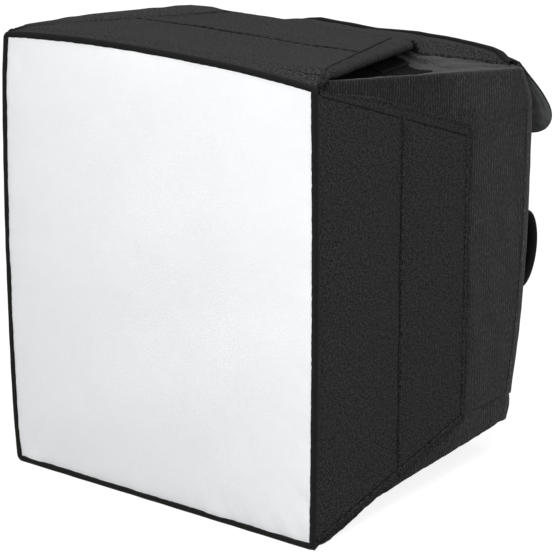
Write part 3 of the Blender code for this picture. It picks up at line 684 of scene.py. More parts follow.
# %% A row of thread beads along a seam
def bead_shape():
    """A bead: three rings of five points on a half ellipse of length, and two tips."""
    turn = np.linspace(0, 2 * np.pi, 5, endpoint=False)
    share = np.array([-0.6, 0.0, 0.6])[:, None]
    wide = np.sqrt(1 - share ** 2)
    rings = np.stack([share + 0 * turn, wide * np.cos(turn), wide * np.sin(turn)], axis=-1)
    points = np.concatenate([rings.reshape(-1, 3), [[-1, 0, 0], [1, 0, 0]]])
    number = np.arange(15).reshape(3, 5)
    ahead = np.roll(number, -1, axis=1)
    quads = np.stack([number[:-1], ahead[:-1], ahead[1:], number[1:]], axis=-1).reshape(-1, 4)
    low = np.stack([ahead[0], number[0], np.full(5, 15)], axis=-1)
    high = np.stack([number[2], ahead[2], np.full(5, 16)], axis=-1)
    return points, quads, np.concatenate([low, high])


BEAD, BEAD_QUADS, BEAD_CAPS = bead_shape()


def along_line(at, far, values):
    """Values of a line's points, far along it, read off at other distances."""
    return np.stack([np.interp(at, far, values[:, axis]) for axis in range(3)], axis=1)


def add_stitches(name, paths, pitch=0.0029, length=0.0022, width=0.00075, sink=0.00006):
    """Beads at even steps along paths of (points, outward normals), sunk into the cloth."""
    places, ways, ups = [], [], []
    for line, normal in paths:
        step = np.linalg.norm(np.diff(line, axis=0), axis=1)
        far = np.concatenate([[0.0], np.cumsum(step)])
        at = np.arange(pitch / 2, far[-1] - pitch / 4, pitch)
        places.append(along_line(at, far, line))
        ways.append(along_line(at + 0.0004, far, line) - along_line(at - 0.0004, far, line))
        ups.append(along_line(at, far, normal))
    place, way, up = (np.concatenate(part) for part in (places, ways, ups))
    way /= np.linalg.norm(way, axis=1, keepdims=True)
    up -= way * (up * way).sum(axis=1, keepdims=True)
    up /= np.linalg.norm(up, axis=1, keepdims=True)
    side = np.cross(up, way)
    size = np.array([length, width, min(width, 0.0015)]) / 2
    points = (place[:, None] - sink * up[:, None]
              + BEAD[None, :, :1] * size[0] * way[:, None]
              + BEAD[None, :, 1:2] * size[1] * side[:, None]
              + BEAD[None, :, 2:] * size[2] * up[:, None])
    shift = (np.arange(len(place)) * len(BEAD))[:, None, None]
    quads = (BEAD_QUADS[None] + shift).reshape(-1, 4)
    caps = (BEAD_CAPS[None] + shift).reshape(-1, 3)
    uv = np.broadcast_to(BEAD[None, :, :2] * size[:2], (len(place), len(BEAD), 2)).reshape(-1, 2)
    corners = np.concatenate([quads.ravel(), caps.ravel()])
    faces = quads.tolist() + caps.tolist()
    return face_outwards(add_mesh(name, points.reshape(-1, 3), faces, uv[corners], thread))


# %% [markdown]
# ## Boarded panels
#
# Each wall has two stiff panels. A board lies in a pocket of nylon, and the
# pocket is closed by a seam along the board's edge. Rings at fixed distances
# from the edge follow the rounded rim, and the sewn groove is added by the
# true distance to the sewn sides, because the cloth runs on over the fold.

# %% Covers, films and seams
SEAM = 0.0008
COVER = 0.0006
RIM = 0.0030


def panel_span(wall, part):
    """First and last depth of a panel."""
    if part == "rear":
        return MID_FOLD, PANEL_END
    return (SIDE_HINGE if wall in SIDES else LEVEL_HINGE), MID_FOLD


def panel_corners(wall, start, end):
    low_start, high_start = edges_of(wall, start)
    low_end, high_end = edges_of(wall, end)
    return [(low_start, start), (high_start, start), (high_end, end), (low_end, end)]


def sewn_distance(wall, part, u, v):
    """Distance to the nearest sewn side: both long edges and, behind, the last fold."""
    near, far = edges_of(wall, np.minimum(v, PANEL_END))
    first, last = edges_of(wall, 0.0), edges_of(wall, PANEL_END)
    lean = [math.cos(math.atan((last[index] - first[index]) / PANEL_END)) for index in (0, 1)]
    distance = np.minimum((u - near) * lean[0], (far - u) * lean[1])
    if part == "rear":
        distance = np.minimum(distance, PANEL_END - v)
    return distance


def groove(distance):
    """The sewn groove: 0.9 mm deep at the seam, with a soft lip inside it."""
    return (-0.00090 * np.exp(-((distance - SEAM) / 0.00055) ** 2)
            + 0.00022 * np.exp(-((distance - 0.0024) / 0.0009) ** 2))


def dome(wall, u, v):
    """How far the slack top wall stands above its boards.

    In the middle it follows the bowed face and dies out at the last fold. Its
    front corners are puffed up behind the tape, the right one more.
    """
    if wall != "top":
        return 0 * u
    away = 1 - np.clip(v / PANEL_END, 0, 1)
    side = np.clip(np.abs(u) / level_half(np.minimum(v, PANEL_END)), 0, 1)
    corner = np.where(u > 0, 0.0062, 0.0012) * smooth((v - 0.001) / 0.015) * away
    return ARCH * away ** 0.9 * (1 - side ** 2.4) + corner * side ** 3


def slack(wall, u, v, seed=20, full=True):
    """Soft unevenness of a whole wall, the same for every piece that lies on it.

    In full it has the swelling behind the left edge of the face too: 4 mm,
    falling with the fourth power of the share across and with the depth.
    """
    shift = {"right": 0.0, "left": 0.4, "top": 0.8, "bottom": 1.2}[wall]
    soft = (0.00026 * ripple(u + shift, v, 0.040, seed)
            + 0.00010 * ripple(u * 0.6 + shift, v, 0.012, seed + 1))
    if wall == "left" and full:
        swell = 1 - np.clip(2 * np.abs(u) / HEIGHT, 0, 1) ** 4
        soft = soft + 0.0040 * swell * (1 - smooth(v / 0.040))
    return soft


def looseness(wall):
    """How much stronger than on its boards the unevenness of a wall's outer cloth is."""
    return 1.6 if wall == "top" else 1.0


def make_cover(wall, part):
    """Cover of one board, under it, round its edge and over it, and the film inside."""
    name = wall + "_" + part
    body = name + "_panel"
    start, end = panel_span(wall, part)
    corners = panel_corners(wall, start + PLAY, end - PLAY)
    profile = np.array([(3.0, -2.7), (1.2, -2.7), (0.3, -2.55), (0.0, -2.1), (0.0, -0.9),
                        (0.10, -0.35), (0.25, -0.14), (0.5, -0.04), (0.8, 0.0), (1.1, 0.02),
                        (1.5, 0.03), (2.1, 0.04), (3.0, 0.07), (4.5, 0.12), (7.0, 0.22),
                        (10.0, 0.30)]) / 1000
    rings = [outline_ring(corners, inset, max(0.0022 - inset, 0.0008), 150, 7)
             for inset, _ in profile]
    height = list(profile[:, 1])
    middle = rings[-1].mean(axis=0)
    shares = (0.86, 0.72, 0.58, 0.44, 0.3, 0.16, 0.05)
    rings = np.array(rings + [middle + (rings[-1] - middle) * share for share in shares])
    height += [0.00030 + 0.00025 * (1 - share ** 2) for share in shares]
    height = np.array(height)[:, None]
    u, v = rings[..., 0], rings[..., 1]
    distance = sewn_distance(wall, part, u, v)
    way = np.broadcast_to(travelled(rings[0])[None], u.shape)
    pucker = 0.00016 * np.sin(2 * np.pi * way / 0.0056 + 1.5 * ripple(way, 0 * way, 0.03, 21))
    pucker = pucker * np.exp(-((distance - SEAM) / 0.0016) ** 2)
    top = height > -0.0008
    lift = height + np.where(top, groove(distance) + pucker + slack(wall, u, v, full=False), 0.0)
    points = on_wall(wall, u, v, lift)
    cover = add_grid(name + "_cover_cloth", points, rings, nylon, wrap=True, pole=True)
    face_outwards(cover)
    give_thickness(cover, COVER, -1.0)
    dress(cover, body, "cover_nylon", name + "_cover")
    declare(cover, points, 0.010 + np.ptp(rings[0, :, 0]), 0.010 + np.ptp(rings[0, :, 1]),
            wrap=True)

    film = [outline_ring(corners, RIM + 0.0003 + step, max(0.003 - step, 0.0012), 40, 5)
            for step in (0.0, 0.0006, 0.002, 0.005, 0.010)]
    middle = film[-1].mean(axis=0)
    film += [middle + (film[4] - middle) * share for share in np.linspace(0.88, 0.04, 11)]
    film = np.array(film)
    rise = np.full(film.shape[:2], -PANEL + 0.00005)
    rise[2:] += 0.00014 * ripple(film[2:, :, 0], film[2:, :, 1], 0.016, 23) + 0.00012
    film_points = on_wall(wall, film[..., 0], film[..., 1], rise)
    lining = add_grid(name + "_film", film_points, film, silver, wrap=True, pole=True)
    give_thickness(lining, 0.0003)
    dress(lining, body, "silver_lining", name + "_lining")
    declare(lining, film_points, np.ptp(film[0, :, 0]) + 0.001, np.ptp(film[0, :, 1]) + 0.001,
            wrap=True)


for wall in SIDES + LEVELS:
    make_cover(wall, "front")
    make_cover(wall, "rear")

# %% [markdown]
# On the top wall the outer cloth stands off its pocket, like a bedcover. It is
# a sheet of its own.


def press_flat(piece):
    """Gives a piece of the top wall its own copy of its mesh."""
    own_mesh(piece)


def make_skin(part):
    """Rows run to the rear; they and the columns are closer at the sewn sides."""
    start, end = panel_span("top", part)
    inside, before = (0.0010, 0.0019) if part == "front" else (0.0022, 0.0006)
    start, end = start + inside, end - before
    v = np.concatenate([np.linspace(start, end - 0.005, 60), np.linspace(end - 0.005, end, 22)[1:]])
    share = np.sin(np.linspace(-1, 1, 240) * np.pi / 2)[None]
    u = share * (level_half(v[:, None]) - 0.0001)
    v = v[:, None] + 0 * u
    w = 0.0001 + dome("top", u, v) + looseness("top") * slack("top", u, v)
    w = w + groove(sewn_distance("top", part, u, v))
    points = on_wall("top", u, v, w)
    piece = add_grid("top_" + part + "_skin", points, pair(u, v), nylon)
    give_thickness(piece, 0.0005, -1.0)
    dress(piece, "top_" + part + "_panel", "cover_nylon")
    declare(piece, points, 0.192, 0.062)
    press_flat(piece)


make_skin("front")
make_skin("rear")

# %% [markdown]
# The cloth behind the left edge of the face is swollen too. The same idea
# serves there: a sheet comes out of the cover.

# %% Swollen cloth of the left wall
v = np.linspace(0.0035, 0.050, 50)[:, None]
u = np.linspace(-0.112, 0.112, 200)[None] + 0 * v
v = v + 0 * u
swollen = slack("left", u, v) - 0.00012
points = on_wall("left", u, v, swollen)
piece = add_grid("left_front_skin", points, pair(u, v), nylon)
give_thickness(piece, 0.0005, -1.0)
dress(piece, "left_front_panel", "cover_nylon")
declare(piece, points, 0.225, 0.048)
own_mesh(piece)

# %% [markdown]
# ## Borders of the side panels
#
# Outside the board's seam the nylon goes on as a soft border, and its turned
# edge is sewn to the stretch cloth. A border is a section carried along a
# path with round corners, so it needs the path's points and outward normals.

# %% Borders carried along the sewn sides
def sewn_path(wall, part):
    """Paths along the sewn sides of a panel, and their outward normals, in the flat wall.

    A front panel has two straight paths. A rear panel has one, along both
    long edges and across behind, with quarter arcs of 1.2 mm at the corners.
    """
    start, end = panel_span(wall, part)
    low_start, high_start, high_end, low_end = (
        np.array(corner) for corner in panel_corners(wall, start + PLAY, end))
    route = [high_start, high_end, low_end, low_start]
    middle = sum(route) / 4
    normals = []
    for one, other in zip(route[:-1], route[1:]):
        along = (other - one) / np.linalg.norm(other - one)
        normal = np.array([along[1], -along[0]])
        normals.append(normal * np.sign(normal @ (one - middle)))
    share = np.linspace(0, 1, 90)[:, None]
    if part == "front":
        return [(one * (1 - share) + other * share, np.broadcast_to(normal, (90, 2)))
                for one, other, normal in ((route[0], route[1], normals[0]),
                                           (route[2], route[3], normals[2]))]
    radius = 0.0012
    points, outward = [], []
    here = route[0]
    for corner, before, after in zip(route[1:3], normals[:2], normals[1:]):
        centre = corner - radius * (before + after) / (1 + before @ after)
        goal = centre + radius * before
        turn = np.linspace(0, 1, 10)[1:-1, None]
        turned = before * (1 - turn) + after * turn
        turned /= np.linalg.norm(turned, axis=1, keepdims=True)
        points += [here * (1 - share) + goal * share, centre + radius * turned]
        outward += [np.broadcast_to(before, (90, 2)), turned]
        here = centre + radius * after
    points.append(here * (1 - share) + route[3] * share)
    outward.append(np.broadcast_to(normals[2], (90, 2)))
    return [(np.concatenate(points), np.concatenate(outward))]


def border_width(wall, path, outward):
    """Wide above, narrow below and behind, and almost nothing at the binding."""
    up = -outward[:, 0] if wall == "right" else outward[:, 0]
    grown = smooth((path[:, 1] - 0.003) / 0.050)
    high, low = 0.0012 + 0.0046 * grown, 0.0012 + 0.0022 * grown
    share = np.clip(outward[:, 1], 0, 1) ** 2
    return np.where(up > 0, high, low) * (1 - share) + 0.0030 * share


def make_border(wall, part):
    body = wall + "_" + part + "_panel"
    seams = []
    for number, (path, outward) in enumerate(sewn_path(wall, part)):
        width = border_width(wall, path, outward)[None]
        inner = np.array([0.98, 0.80, 0.62, 0.40, 0.10]) / 1000
        outer = np.array([0.10, 0.25, 0.45, 0.65, 0.82, 0.92, 1.0, 1.05, 1.0, 0.8])
        offset = np.concatenate([inner[:, None] + 0 * width, -outer[:, None] * width])
        height = np.array([-0.75, -0.52, -0.22, 0.00, 0.06, 0.06, 0.02, -0.10, -0.16, 0.00, 0.14,
                           -0.05, -0.55, -1.05, -1.15])[:, None] / 1000
        place = path[None] - outward[None] * offset[..., None]
        way = np.concatenate([[0], np.cumsum(np.linalg.norm(np.diff(path, axis=0), axis=1))])[None]
        wavy = (0.00011 * np.sin(2 * np.pi * way / 0.0052)
                + 0.00016 * ripple(way, 0 * way, 0.017, 31))
        share = np.clip(-offset / width, 0, 1)
        lift = height + wavy * np.sin(np.pi * share) + slack(wall, place[..., 0], place[..., 1])
        points = on_wall(wall, place[..., 0], place[..., 1], lift)
        label = wall + "_" + part + "_border" + ("" if part == "rear" else "_" + "ab"[number])
        border = add_grid(label, points, place, nylon)
        give_thickness(border, 0.0004)
        dress(border, body, "cover_nylon")
        declare(border, points, float(way[0, -1]) + 0.002, 0.011)
        for row in (1, 8):
            up = outwards(wall, place[row, :, 0], place[row, :, 1], lift[row])
            seams.append((points[row] + up * 0.06, up))
    seam = add_stitches(wall + "_" + part + "_seam", seams, 0.0030, 0.0024, 0.00095)
    dress(seam, body, "cover_nylon")


for wall in SIDES:
    make_border(wall, "front")
    make_border(wall, "rear")

# %% [markdown]
# The top and bottom panels have only the seam, because strips of nylon are
# sewn on along their slanted edges.

# %% Seams of the level panels
def make_level_seams(wall, part):
    """Beads in the groove, along the same path as a border."""
    seams = []
    for path, outward in sewn_path(wall, part):
        u, v = (path - outward * SEAM).T
        height = -0.00045 + looseness(wall) * slack(wall, u, v) + dome(wall, u, v)
        v = np.minimum(v, PANEL_END)
        seams.append((on_wall(wall, u, v, height), outwards(wall, u, v, height)))
    seam = add_stitches(wall + "_" + part + "_seam", seams, 0.0062, 0.0050, 0.0026, 0.0001)
    dress(seam, wall + "_" + part + "_panel", "cover_nylon")
    if wall == "top":
        press_flat(seam)


for wall in LEVELS:
    make_level_seams(wall, "front")
    make_level_seams(wall, "rear")

# %% [markdown]
# ## Webs over the folds
#
# Between two boards the nylon runs on, sewn down once, which is what makes
# the fold. A web spans the fold between two bodies, so it is one strip with
# enough rows across the fold.

# %% Strips that bend across a fold
def make_web(name, wall, fold, reach, height, margin, look=None,
             sewn=False, on_top=True, half=None):
    """A strip across a fold: reach is how far it goes to both sides.

    Its ends sink a little into the neighbours, and a sewn web has a groove
    along the fold with a lip behind it. On the top wall the groove is painted
    nearly black as painted shade, wider at each stitch.
    """
    before, after = reach
    steps = np.array([0.06, 0.12, 0.2, 0.3, 0.42, 0.6, 0.8, 1.0])
    across = np.concatenate([-steps[::-1] * before, [0.0], steps * after])[:, None]
    v = fold + across
    share = np.linspace(-1, 1, 200)[None]
    low_u, high_u = edges_of(wall, np.minimum(v, PANEL_END))
    if half:
        low_u, high_u = 0 * v - half, 0 * v + half
    u = (low_u + high_u) / 2 + ((high_u - low_u) / 2 - margin) * share
    far = np.abs(across) / np.where(across < 0, before, after)
    w = height - 0.00024 * smooth((far - 0.55) / 0.45) + 0 * share
    if sewn:
        wide = 0.0011 if wall == "top" else 0.0006
        w = w - 0.00095 * np.exp(-(across / wide) ** 2)
        w = w + 0.00045 * np.exp(-((across - 2.6 * wide) / 0.0007) ** 2)
        beside = np.exp(-((across - 0.0008) / 0.0016) ** 2)
        w = w + 0.00016 * np.sin(2 * np.pi * u / 0.0057) * beside
        v = v + 0.00016 * ripple(u, 0 * u, 0.020, 41) * (1 - far)
    v = v + 0 * u
    if on_top:
        w = w + looseness(wall) * slack(wall, u, v)
        w = w + dome(wall, u, np.minimum(v, PANEL_END))
    points = on_wall(wall, u, v, w)
    piece = add_grid(name, points, pair(u, v), look or nylon)
    # Painted shade: faces in the groove of a top wall's seam take the near-black tape.
    if sewn and wall == "top":
        piece.data.materials.append(tape)
        dash = 0.0004 * np.sign(np.sin(2 * np.pi * (u[:-1, :-1] + u[1:, 1:]) / 0.0124) + 0.4)
        groove_shade = np.abs(across[:-1] + across[1:]) / 2 < 0.0013 + dash
        piece.data.polygons.foreach_set("material_index", groove_shade.ravel().astype(np.int32))
    give_thickness(piece, 0.0004, -1.0 if on_top else 0.0)
    made = [piece]
    if sewn:
        up = outwards(wall, u[8], v[8], w[8])
        size = (0.0062, 0.0050, 0.0024) if wall in LEVELS else (0.0037, 0.0031, 0.0013)
        made.append(add_stitches(name + "_seam", [(points[8] + up * 0.42, up)], *size))
    for thing in made:
        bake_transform(thing)


for wall in SIDES + LEVELS:
    side = wall in SIDES
    hinge = SIDE_HINGE if side else LEVEL_HINGE
    make_web(wall + "_front_web", wall, hinge,
             (0.0014, 0.0028) if side else (0.0030, 0.0030), 0.00004, 0.0008)
    make_web(wall + "_middle_web", wall, MID_FOLD, (0.0034, 0.0034), 0.00010,
             0.0008, sewn=True)
    if side:
        make_web(wall + "_rear_web", wall, PANEL_END, (0.0022, 0.0020),
                 -PANEL + 0.0003, 0.003, look=stretch, on_top=False)
    else:
        reach = (0.0026, 0.0022) if wall == "top" else (0.0008, 0.0040)
        make_web(wall + "_rear_web", wall, PANEL_END, reach,
                 -0.0004, 0.0004, look=tape if wall == "top" else None,
                 half=0.0658 if wall == "top" else None)

# %% [markdown]
# ## Aprons
#
# The top and bottom walls hang on short strips behind the tape, so that they
# fold behind the side walls. They are plain turned nylon.

# %% The strips behind the tape
def make_apron(wall):
    """A flat strip whose long edges are turned down, carried along the wall."""
    v = np.linspace(0.0012, LEVEL_HINGE - PLAY, 14)[:, None]
    u = np.linspace(-1, 1, 120)[None] * (level_half(v) - 0.0003)
    v = v + 0 * u
    edge = np.minimum(v - 0.0012, LEVEL_HINGE - PLAY - v)
    w = -0.0002 - 0.0006 * np.exp(-edge / 0.0005) + 0.0002 * ripple(u, v, 0.02, 11)
    points = on_wall(wall, u, v, w + dome(wall, u, v))
    piece = add_grid(wall + "_apron_cloth", points, pair(u, v), nylon)
    give_thickness(piece, 0.0012, -1.0 if wall == "top" else 1.0)
    dress(piece, "front_frame", "cover_nylon", wall + "_apron")
    declare(piece, points, 0.203, 0.0125)


for wall in LEVELS:
    make_apron(wall)

# %% [markdown]
# ## Corner gussets
#
# Ribbed stretch cloth fills each long corner, from under the rim of the side
# panel, over a crease, to under the top or bottom panel. It slackens when the
# walls fold, so it is one sheet that flattens towards the face. Its section
# is three runs: up the wall, round the crease and inwards in shallow folds.

# %% Stretch cloth in the long corners
def crease_height(v, upper):
    """Height of the crease: above a straight line that falls, below a list that rises.

    The upper one starts as a knob a little way behind the tape.
    """
    if not upper:
        return np.interp(v, [0, 0.0146, 0.0298, 0.0544, 0.079, 0.148, 0.190],
                         [0.0008, 0.0008, 0.0043, 0.0102, 0.0120, 0.0152, 0.0185])
    grown = smooth((v - 0.0040) / 0.0075)
    return (side_high(v) + 0.0011) * (1 - grown) + (0.2417 - 0.1480 * v) * grown


def hem_at(share_to_crease, upper):
    """Depth of a gusset's rear edge: it runs forward from the side hem to the corner."""
    turned = np.clip(share_to_crease, 0, 1)
    if upper:
        return 0.1944 - 0.0105 * turned ** 1.6
    return 0.1795 - 0.0025 * turned ** 1.4


def gusset_top(v, x):
    """Height of an upper gusset between its crease and its inner end, x from the middle."""
    half, end = level_tuck(v, True)
    crease = crease_height(v, True)
    share = np.clip((HALF_WIDTH - 0.0030 - x) / (HALF_WIDTH - 0.0030 - half), 0, 1)
    return crease + (end - crease) * share


def margin_share(v):
    """Share of the way over a level margin, from 0 at the last fold to 1 behind."""
    return np.clip((v - PANEL_END) / MARGIN_RUN, 0, 1)


def back_half(wall, v):
    """Half width of a level margin at depth v: it grows evenly to the rear."""
    first, last = (0.066, TOP_CORNER) if wall == "top" else (level_half(PANEL_END), 0.070)
    return first + (last - first) * margin_share(v)


def level_tuck(v, upper):
    """Half width at which a gusset ends under the level wall, and its height there."""
    rear_edge = back_half("top" if upper else "bottom", v)
    edge = level_half(np.minimum(v, PANEL_END))
    half = np.where(v > PANEL_END, rear_edge, edge) - 0.0075
    if not upper:
        return half, PANEL + 0.0015 + 0 * v
    roof = on_wall("top", 0 * v, v, -PANEL + 0 * v)[..., 2]
    sag = 0.0014 + 0.0024 * smooth((v - 0.02) / 0.05) * (1 - margin_share(v))
    return half, roof - sag


def side_word(side):
    return "right" if side > 0 else "left"


def gusset_points(side, upper, rows, columns):
    """Grid over a gusset: rows run to the rear and columns from the side panel inwards."""
    along = np.linspace(0, 1, rows)[:, None]
    across = np.linspace(0, 1, columns)[None]
    crease_share = 0.42
    start_v = 0.0016
    rear = hem_at(across / crease_share, upper)
    v = start_v + (rear - start_v) * along
    turn = 1.0 if upper else -1.0
    edge = side_high(v) - 0.0006 if upper else side_low(v) + 0.0006
    crease = crease_height(v, upper)
    reach = np.minimum(0.0019, 0.45 * np.abs(crease - edge))
    wall = HALF_WIDTH - 0.0011
    rise = np.maximum(np.abs(crease - edge) - reach, 1e-4)
    arc = reach * np.pi / 2
    half, end = level_tuck(v, upper)
    run_x = wall - reach - half
    run_z = end - crease
    run = np.hypot(run_x, run_z)
    first = rise + arc / 2
    second = arc / 2 + run
    way = np.where(across < crease_share, across / crease_share * first,
                   first + (across - crease_share) / (1 - crease_share) * second)
    on_rise = way < rise
    on_arc = (way >= rise) & (way < rise + arc)
    angle = np.clip((way - rise) / np.maximum(arc, 1e-6), 0, 1) * np.pi / 2
    run_share = np.clip((way - rise - arc) / run, 0, 1)
    x = np.where(on_rise, wall, np.where(on_arc, wall - reach * (1 - np.cos(angle)),
                                         wall - reach - run_x * run_share))
    z = np.where(on_rise, edge + turn * way,
                 np.where(on_arc, crease - turn * reach * (1 - np.sin(angle)),
                          crease + run_z * run_share))
    grown = smooth(v / PANEL_END)
    folds = 0.0006 * grown * np.sin(np.pi * 2 * np.clip(run_share / 0.65, 0, 1)) ** 2
    hollow = 0.0042 if upper and side > 0 else 0.0006
    window = smooth((v - 0.010) / 0.025) * smooth((0.142 - v) / 0.025)
    folds = folds + hollow * np.sin(np.pi * run_share) * window
    z = z - turn * folds
    welt = 0.0007 * np.exp(-((way - rise - 0.3 * arc) / 0.0010) ** 2) * smooth((v - 0.006) / 0.006)
    x = x + welt * (0.7 if upper else 0.3)
    z = z + turn * welt * (0.8 if upper else 0.2)
    under_rim = np.exp(-way / 0.0012) * 0.0012
    puff = 0.0009 * np.sin(np.pi * np.clip(way / np.maximum(rise, 1e-4), 0, 1)) * grown
    x = x - under_rim + np.where(on_rise, puff, 0)
    seed = 61 if upper else 67
    small = 0.00016 * ripple(v, way, 0.007, seed)
    small = small + 0.00042 * ripple(v * 1.2, way * 0.7, 0.019, seed + 1)
    small = small * smooth(way / 0.004)
    reach_u, reach_v = way - 0.003, v - PANEL_END
    spoke = np.hypot(reach_u, reach_v)
    fan = np.cos(13 * np.arctan2(reach_u, reach_v)) * np.exp(-((spoke - 0.0085) / 0.0042) ** 2)
    small = small + 0.00032 * fan * (1 if upper else 0.4) * (way < rise)
    x = x + np.where(on_rise, small, small * np.cos(angle))
    z = z + turn * np.where(on_rise, 0, small * np.sin(angle)) * (run_share < 0.97)
    return np.stack([side * x, v - SETBACK, z], axis=-1), pair(way, v), way


def hem_band(points, depth, thickness, lift):
    """The last rows of a grid again, as a closed band: raised outside, turned at the rear."""
    v = points[..., 1]
    rear = v[-1]
    steps = np.array([-1.0, -0.97, -0.5, -0.1, 0.04, 0.04, -0.1, -0.5, -1.0])[:, None]
    heights = np.array([-0.2, 0.75, 1.0, 0.85, 0.3, -0.6, -1.0, -1.0, -0.6])[:, None]
    wanted = rear[None] + steps * depth
    columns = np.arange(points.shape[1])
    along = np.clip((wanted - v[0]) / (rear - v[0]), 0, 1.02) * (points.shape[0] - 1)
    low = np.clip(along.astype(int), 0, points.shape[0] - 2)
    part = (along - low)[..., None]
    base = points[low, columns[None]] * (1 - part) + points[low + 1, columns[None]] * part
    one = np.gradient(base[3], axis=0)
    normal = np.stack([one[:, 2], 0 * one[:, 0], -one[:, 0]], axis=1)
    normal /= np.linalg.norm(normal, axis=1, keepdims=True)
    return base + (lift + heights[..., None] * thickness / 2) * normal[None], wanted


def make_gusset(side, upper):
    name = ("upper_" if upper else "lower_") + side_word(side) + "_gusset"
    points, uv, way = gusset_points(side, upper, 150, 76)
    piece = add_grid(name + "_cloth", points, uv, stretch)
    # Faces past the crease take the lighter copy: painted light on the gusset's top.
    piece.data.materials.append(lit_top_stretch)
    column = np.arange(len(piece.data.polygons)) % 75
    piece.data.polygons.foreach_set("material_index", (column > 31).astype(np.int32))
    give_thickness(piece, 0.0009)
    visible = points[:, : int(points.shape[1] * 0.86)]
    band, wanted = hem_band(visible, 0.0040, 0.0019, 0.0)
    down = np.broadcast_to(way[-1, : visible.shape[1]], wanted.shape)
    # The hem takes the lighter copy: a painted highlight along the rear edge.
    hem = add_grid(name + "_hem", band, pair(down, wanted), highlit_hem, wrap_rows=True)
    face_outwards(hem)
    for made in (piece, hem):
        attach(made, "front_frame")
    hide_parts(name)
    declare(piece, points, 0.195, 0.09)
    for made in (piece, hem):
        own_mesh(made)
    return points


gussets = {(side, upper): make_gusset(side, upper) for side in (1, -1) for upper in (True, False)}

# %% [markdown]
# ## Side margins and hems
#
# Behind the last board the side walls go on in the same stretch cloth as the
# gussets, and end in a turned hem that curves forward towards the floor.

# %% Margins, hems and their seams
def make_side_margin(wall):
    """A sheet between the last fold and the hem line, a little puffed."""
    rows, columns = 40, 90
    down = np.linspace(0, 1, columns)[None]
    z = side_low(PANEL_END) - 0.0012 + (side_high(PANEL_END) - side_low(PANEL_END) + 0.0024) * down
    start = PANEL_END + 0.0005
    along = np.linspace(0, 1, rows)[:, None]
    v = start + (hem_depth(z) - 0.0030 - start) * along
    z = z + 0 * v
    u = across_side(wall, z)
    w = (-0.00150 + 0.0005 * np.sin(np.pi * along) + 0.0004 * ripple(v, z, 0.021, 71)
         + 0.00014 * ripple(v, z, 0.006, 72) - 0.0008 * np.exp(-along / 0.03))
    points = on_wall(wall, u, v, w)
    piece = add_grid(wall + "_margin_cloth", points, pair(u, v), stretch)
    give_thickness(piece, 0.0010)
    dress(piece, wall + "_back", "stretch_rib", wall + "_margin")
    profile = np.array([(-5.0, -1.0), (-4.9, -0.55), (-4.2, -0.20), (-2.6, -0.02),
                        (-0.9, -0.20), (-0.15, -0.75), (0.0, -1.5), (-0.3, -2.3),
                        (-2.5, -2.6), (-4.8, -2.3)]) / 1000
    line = np.linspace(side_low(PANEL_END) - 0.0008, side_high(PANEL_END) + 0.0008, 110)[None]
    v = hem_depth(line) + profile[:, :1] + 0.0002 * ripple(line, line * 0, 0.02, 73)
    w = profile[:, 1:] + 0.00018 * ripple(line, line * 0, 0.013, 74)
    u = across_side(wall, line) + 0 * v
    band = on_wall(wall, u, v, w)
    # The hem takes the lighter copy: a painted highlight along the rear edge.
    hem = add_grid(wall + "_hem_band", band, pair(u, v), highlit_hem, wrap_rows=True)
    face_outwards(hem)
    dress(hem, wall + "_back", "stretch_rib", wall + "_hem")
    outward = np.zeros_like(band[0])
    outward[:, 0] = 1.0 if wall == "right" else -1.0
    seam_line = on_wall(wall, u[0], v[0] - 0.0003, w[0] * 0 - 0.0009)
    seam = add_stitches(wall + "_hem_seam", [(seam_line, outward)], pitch=0.0025)
    dress(seam, wall + "_back", "stretch_rib")
    declare(piece, points, 0.16, 0.066)


for wall in SIDES:
    make_side_margin(wall)

# %% [markdown]
# ## Top and bottom margin
#
# Nothing stiffens the wall behind its last board, so the top margin springs
# up between the corners. Its rear edge is bound in black tape, which reads as
# a dark line against the paler cloth.

# %% Level margins and their bound edges
SPRING_PLACES = np.array([-98, -60, -50, -42, -34, -20, 6, 21, 33, 60, 72, 83, 90, 98]) / 1000
SPRING_HEIGHTS = np.array([0, 0.4, 1.5, 3.6, 4.8, 4.6, 4.0, 4.9, 5.6, 5.2, 4.6, 3.6, 2.0, 0]) / 1000


def spring(wall, u, v):
    """How far the top margin stands up: read off two lists, growing towards the hem."""
    if wall == "bottom":
        return 0 * u
    grow = smooth((v - PANEL_END) / 0.048)
    rise = np.interp(u * TOP_CORNER / back_half(wall, v), SPRING_PLACES, SPRING_HEIGHTS)
    return rise * grow - 0.0011 * smooth((v - PANEL_END - 0.030) / 0.018)


def margin_height(wall, u, v):
    """Flush with the panel at the fold, then springing up; the sides lie on the gusset."""
    behind = v - PANEL_END
    if wall == "bottom":
        return -DEEP + 0.0010 + 0 * u
    base = -0.0007 - 0.0013 * smooth(behind / 0.020)
    turn = SLOPE + DROP
    axis = HEIGHT - DEEP - (PANEL_END - LEVEL_HINGE) * math.sin(SLOPE)
    resting = gusset_top(v, back_half(wall, v)) + 0.0009
    edge = (resting - axis + behind * math.sin(turn)) / math.cos(turn) - DEEP
    broad = 0.010 + 0.026 * (1 - smooth(behind / 0.050))
    sewn = smooth((np.abs(u) - back_half(wall, v) + broad) / broad) * smooth(behind / 0.005)
    return (base + spring(wall, u, v)) * (1 - sewn) + edge * sewn


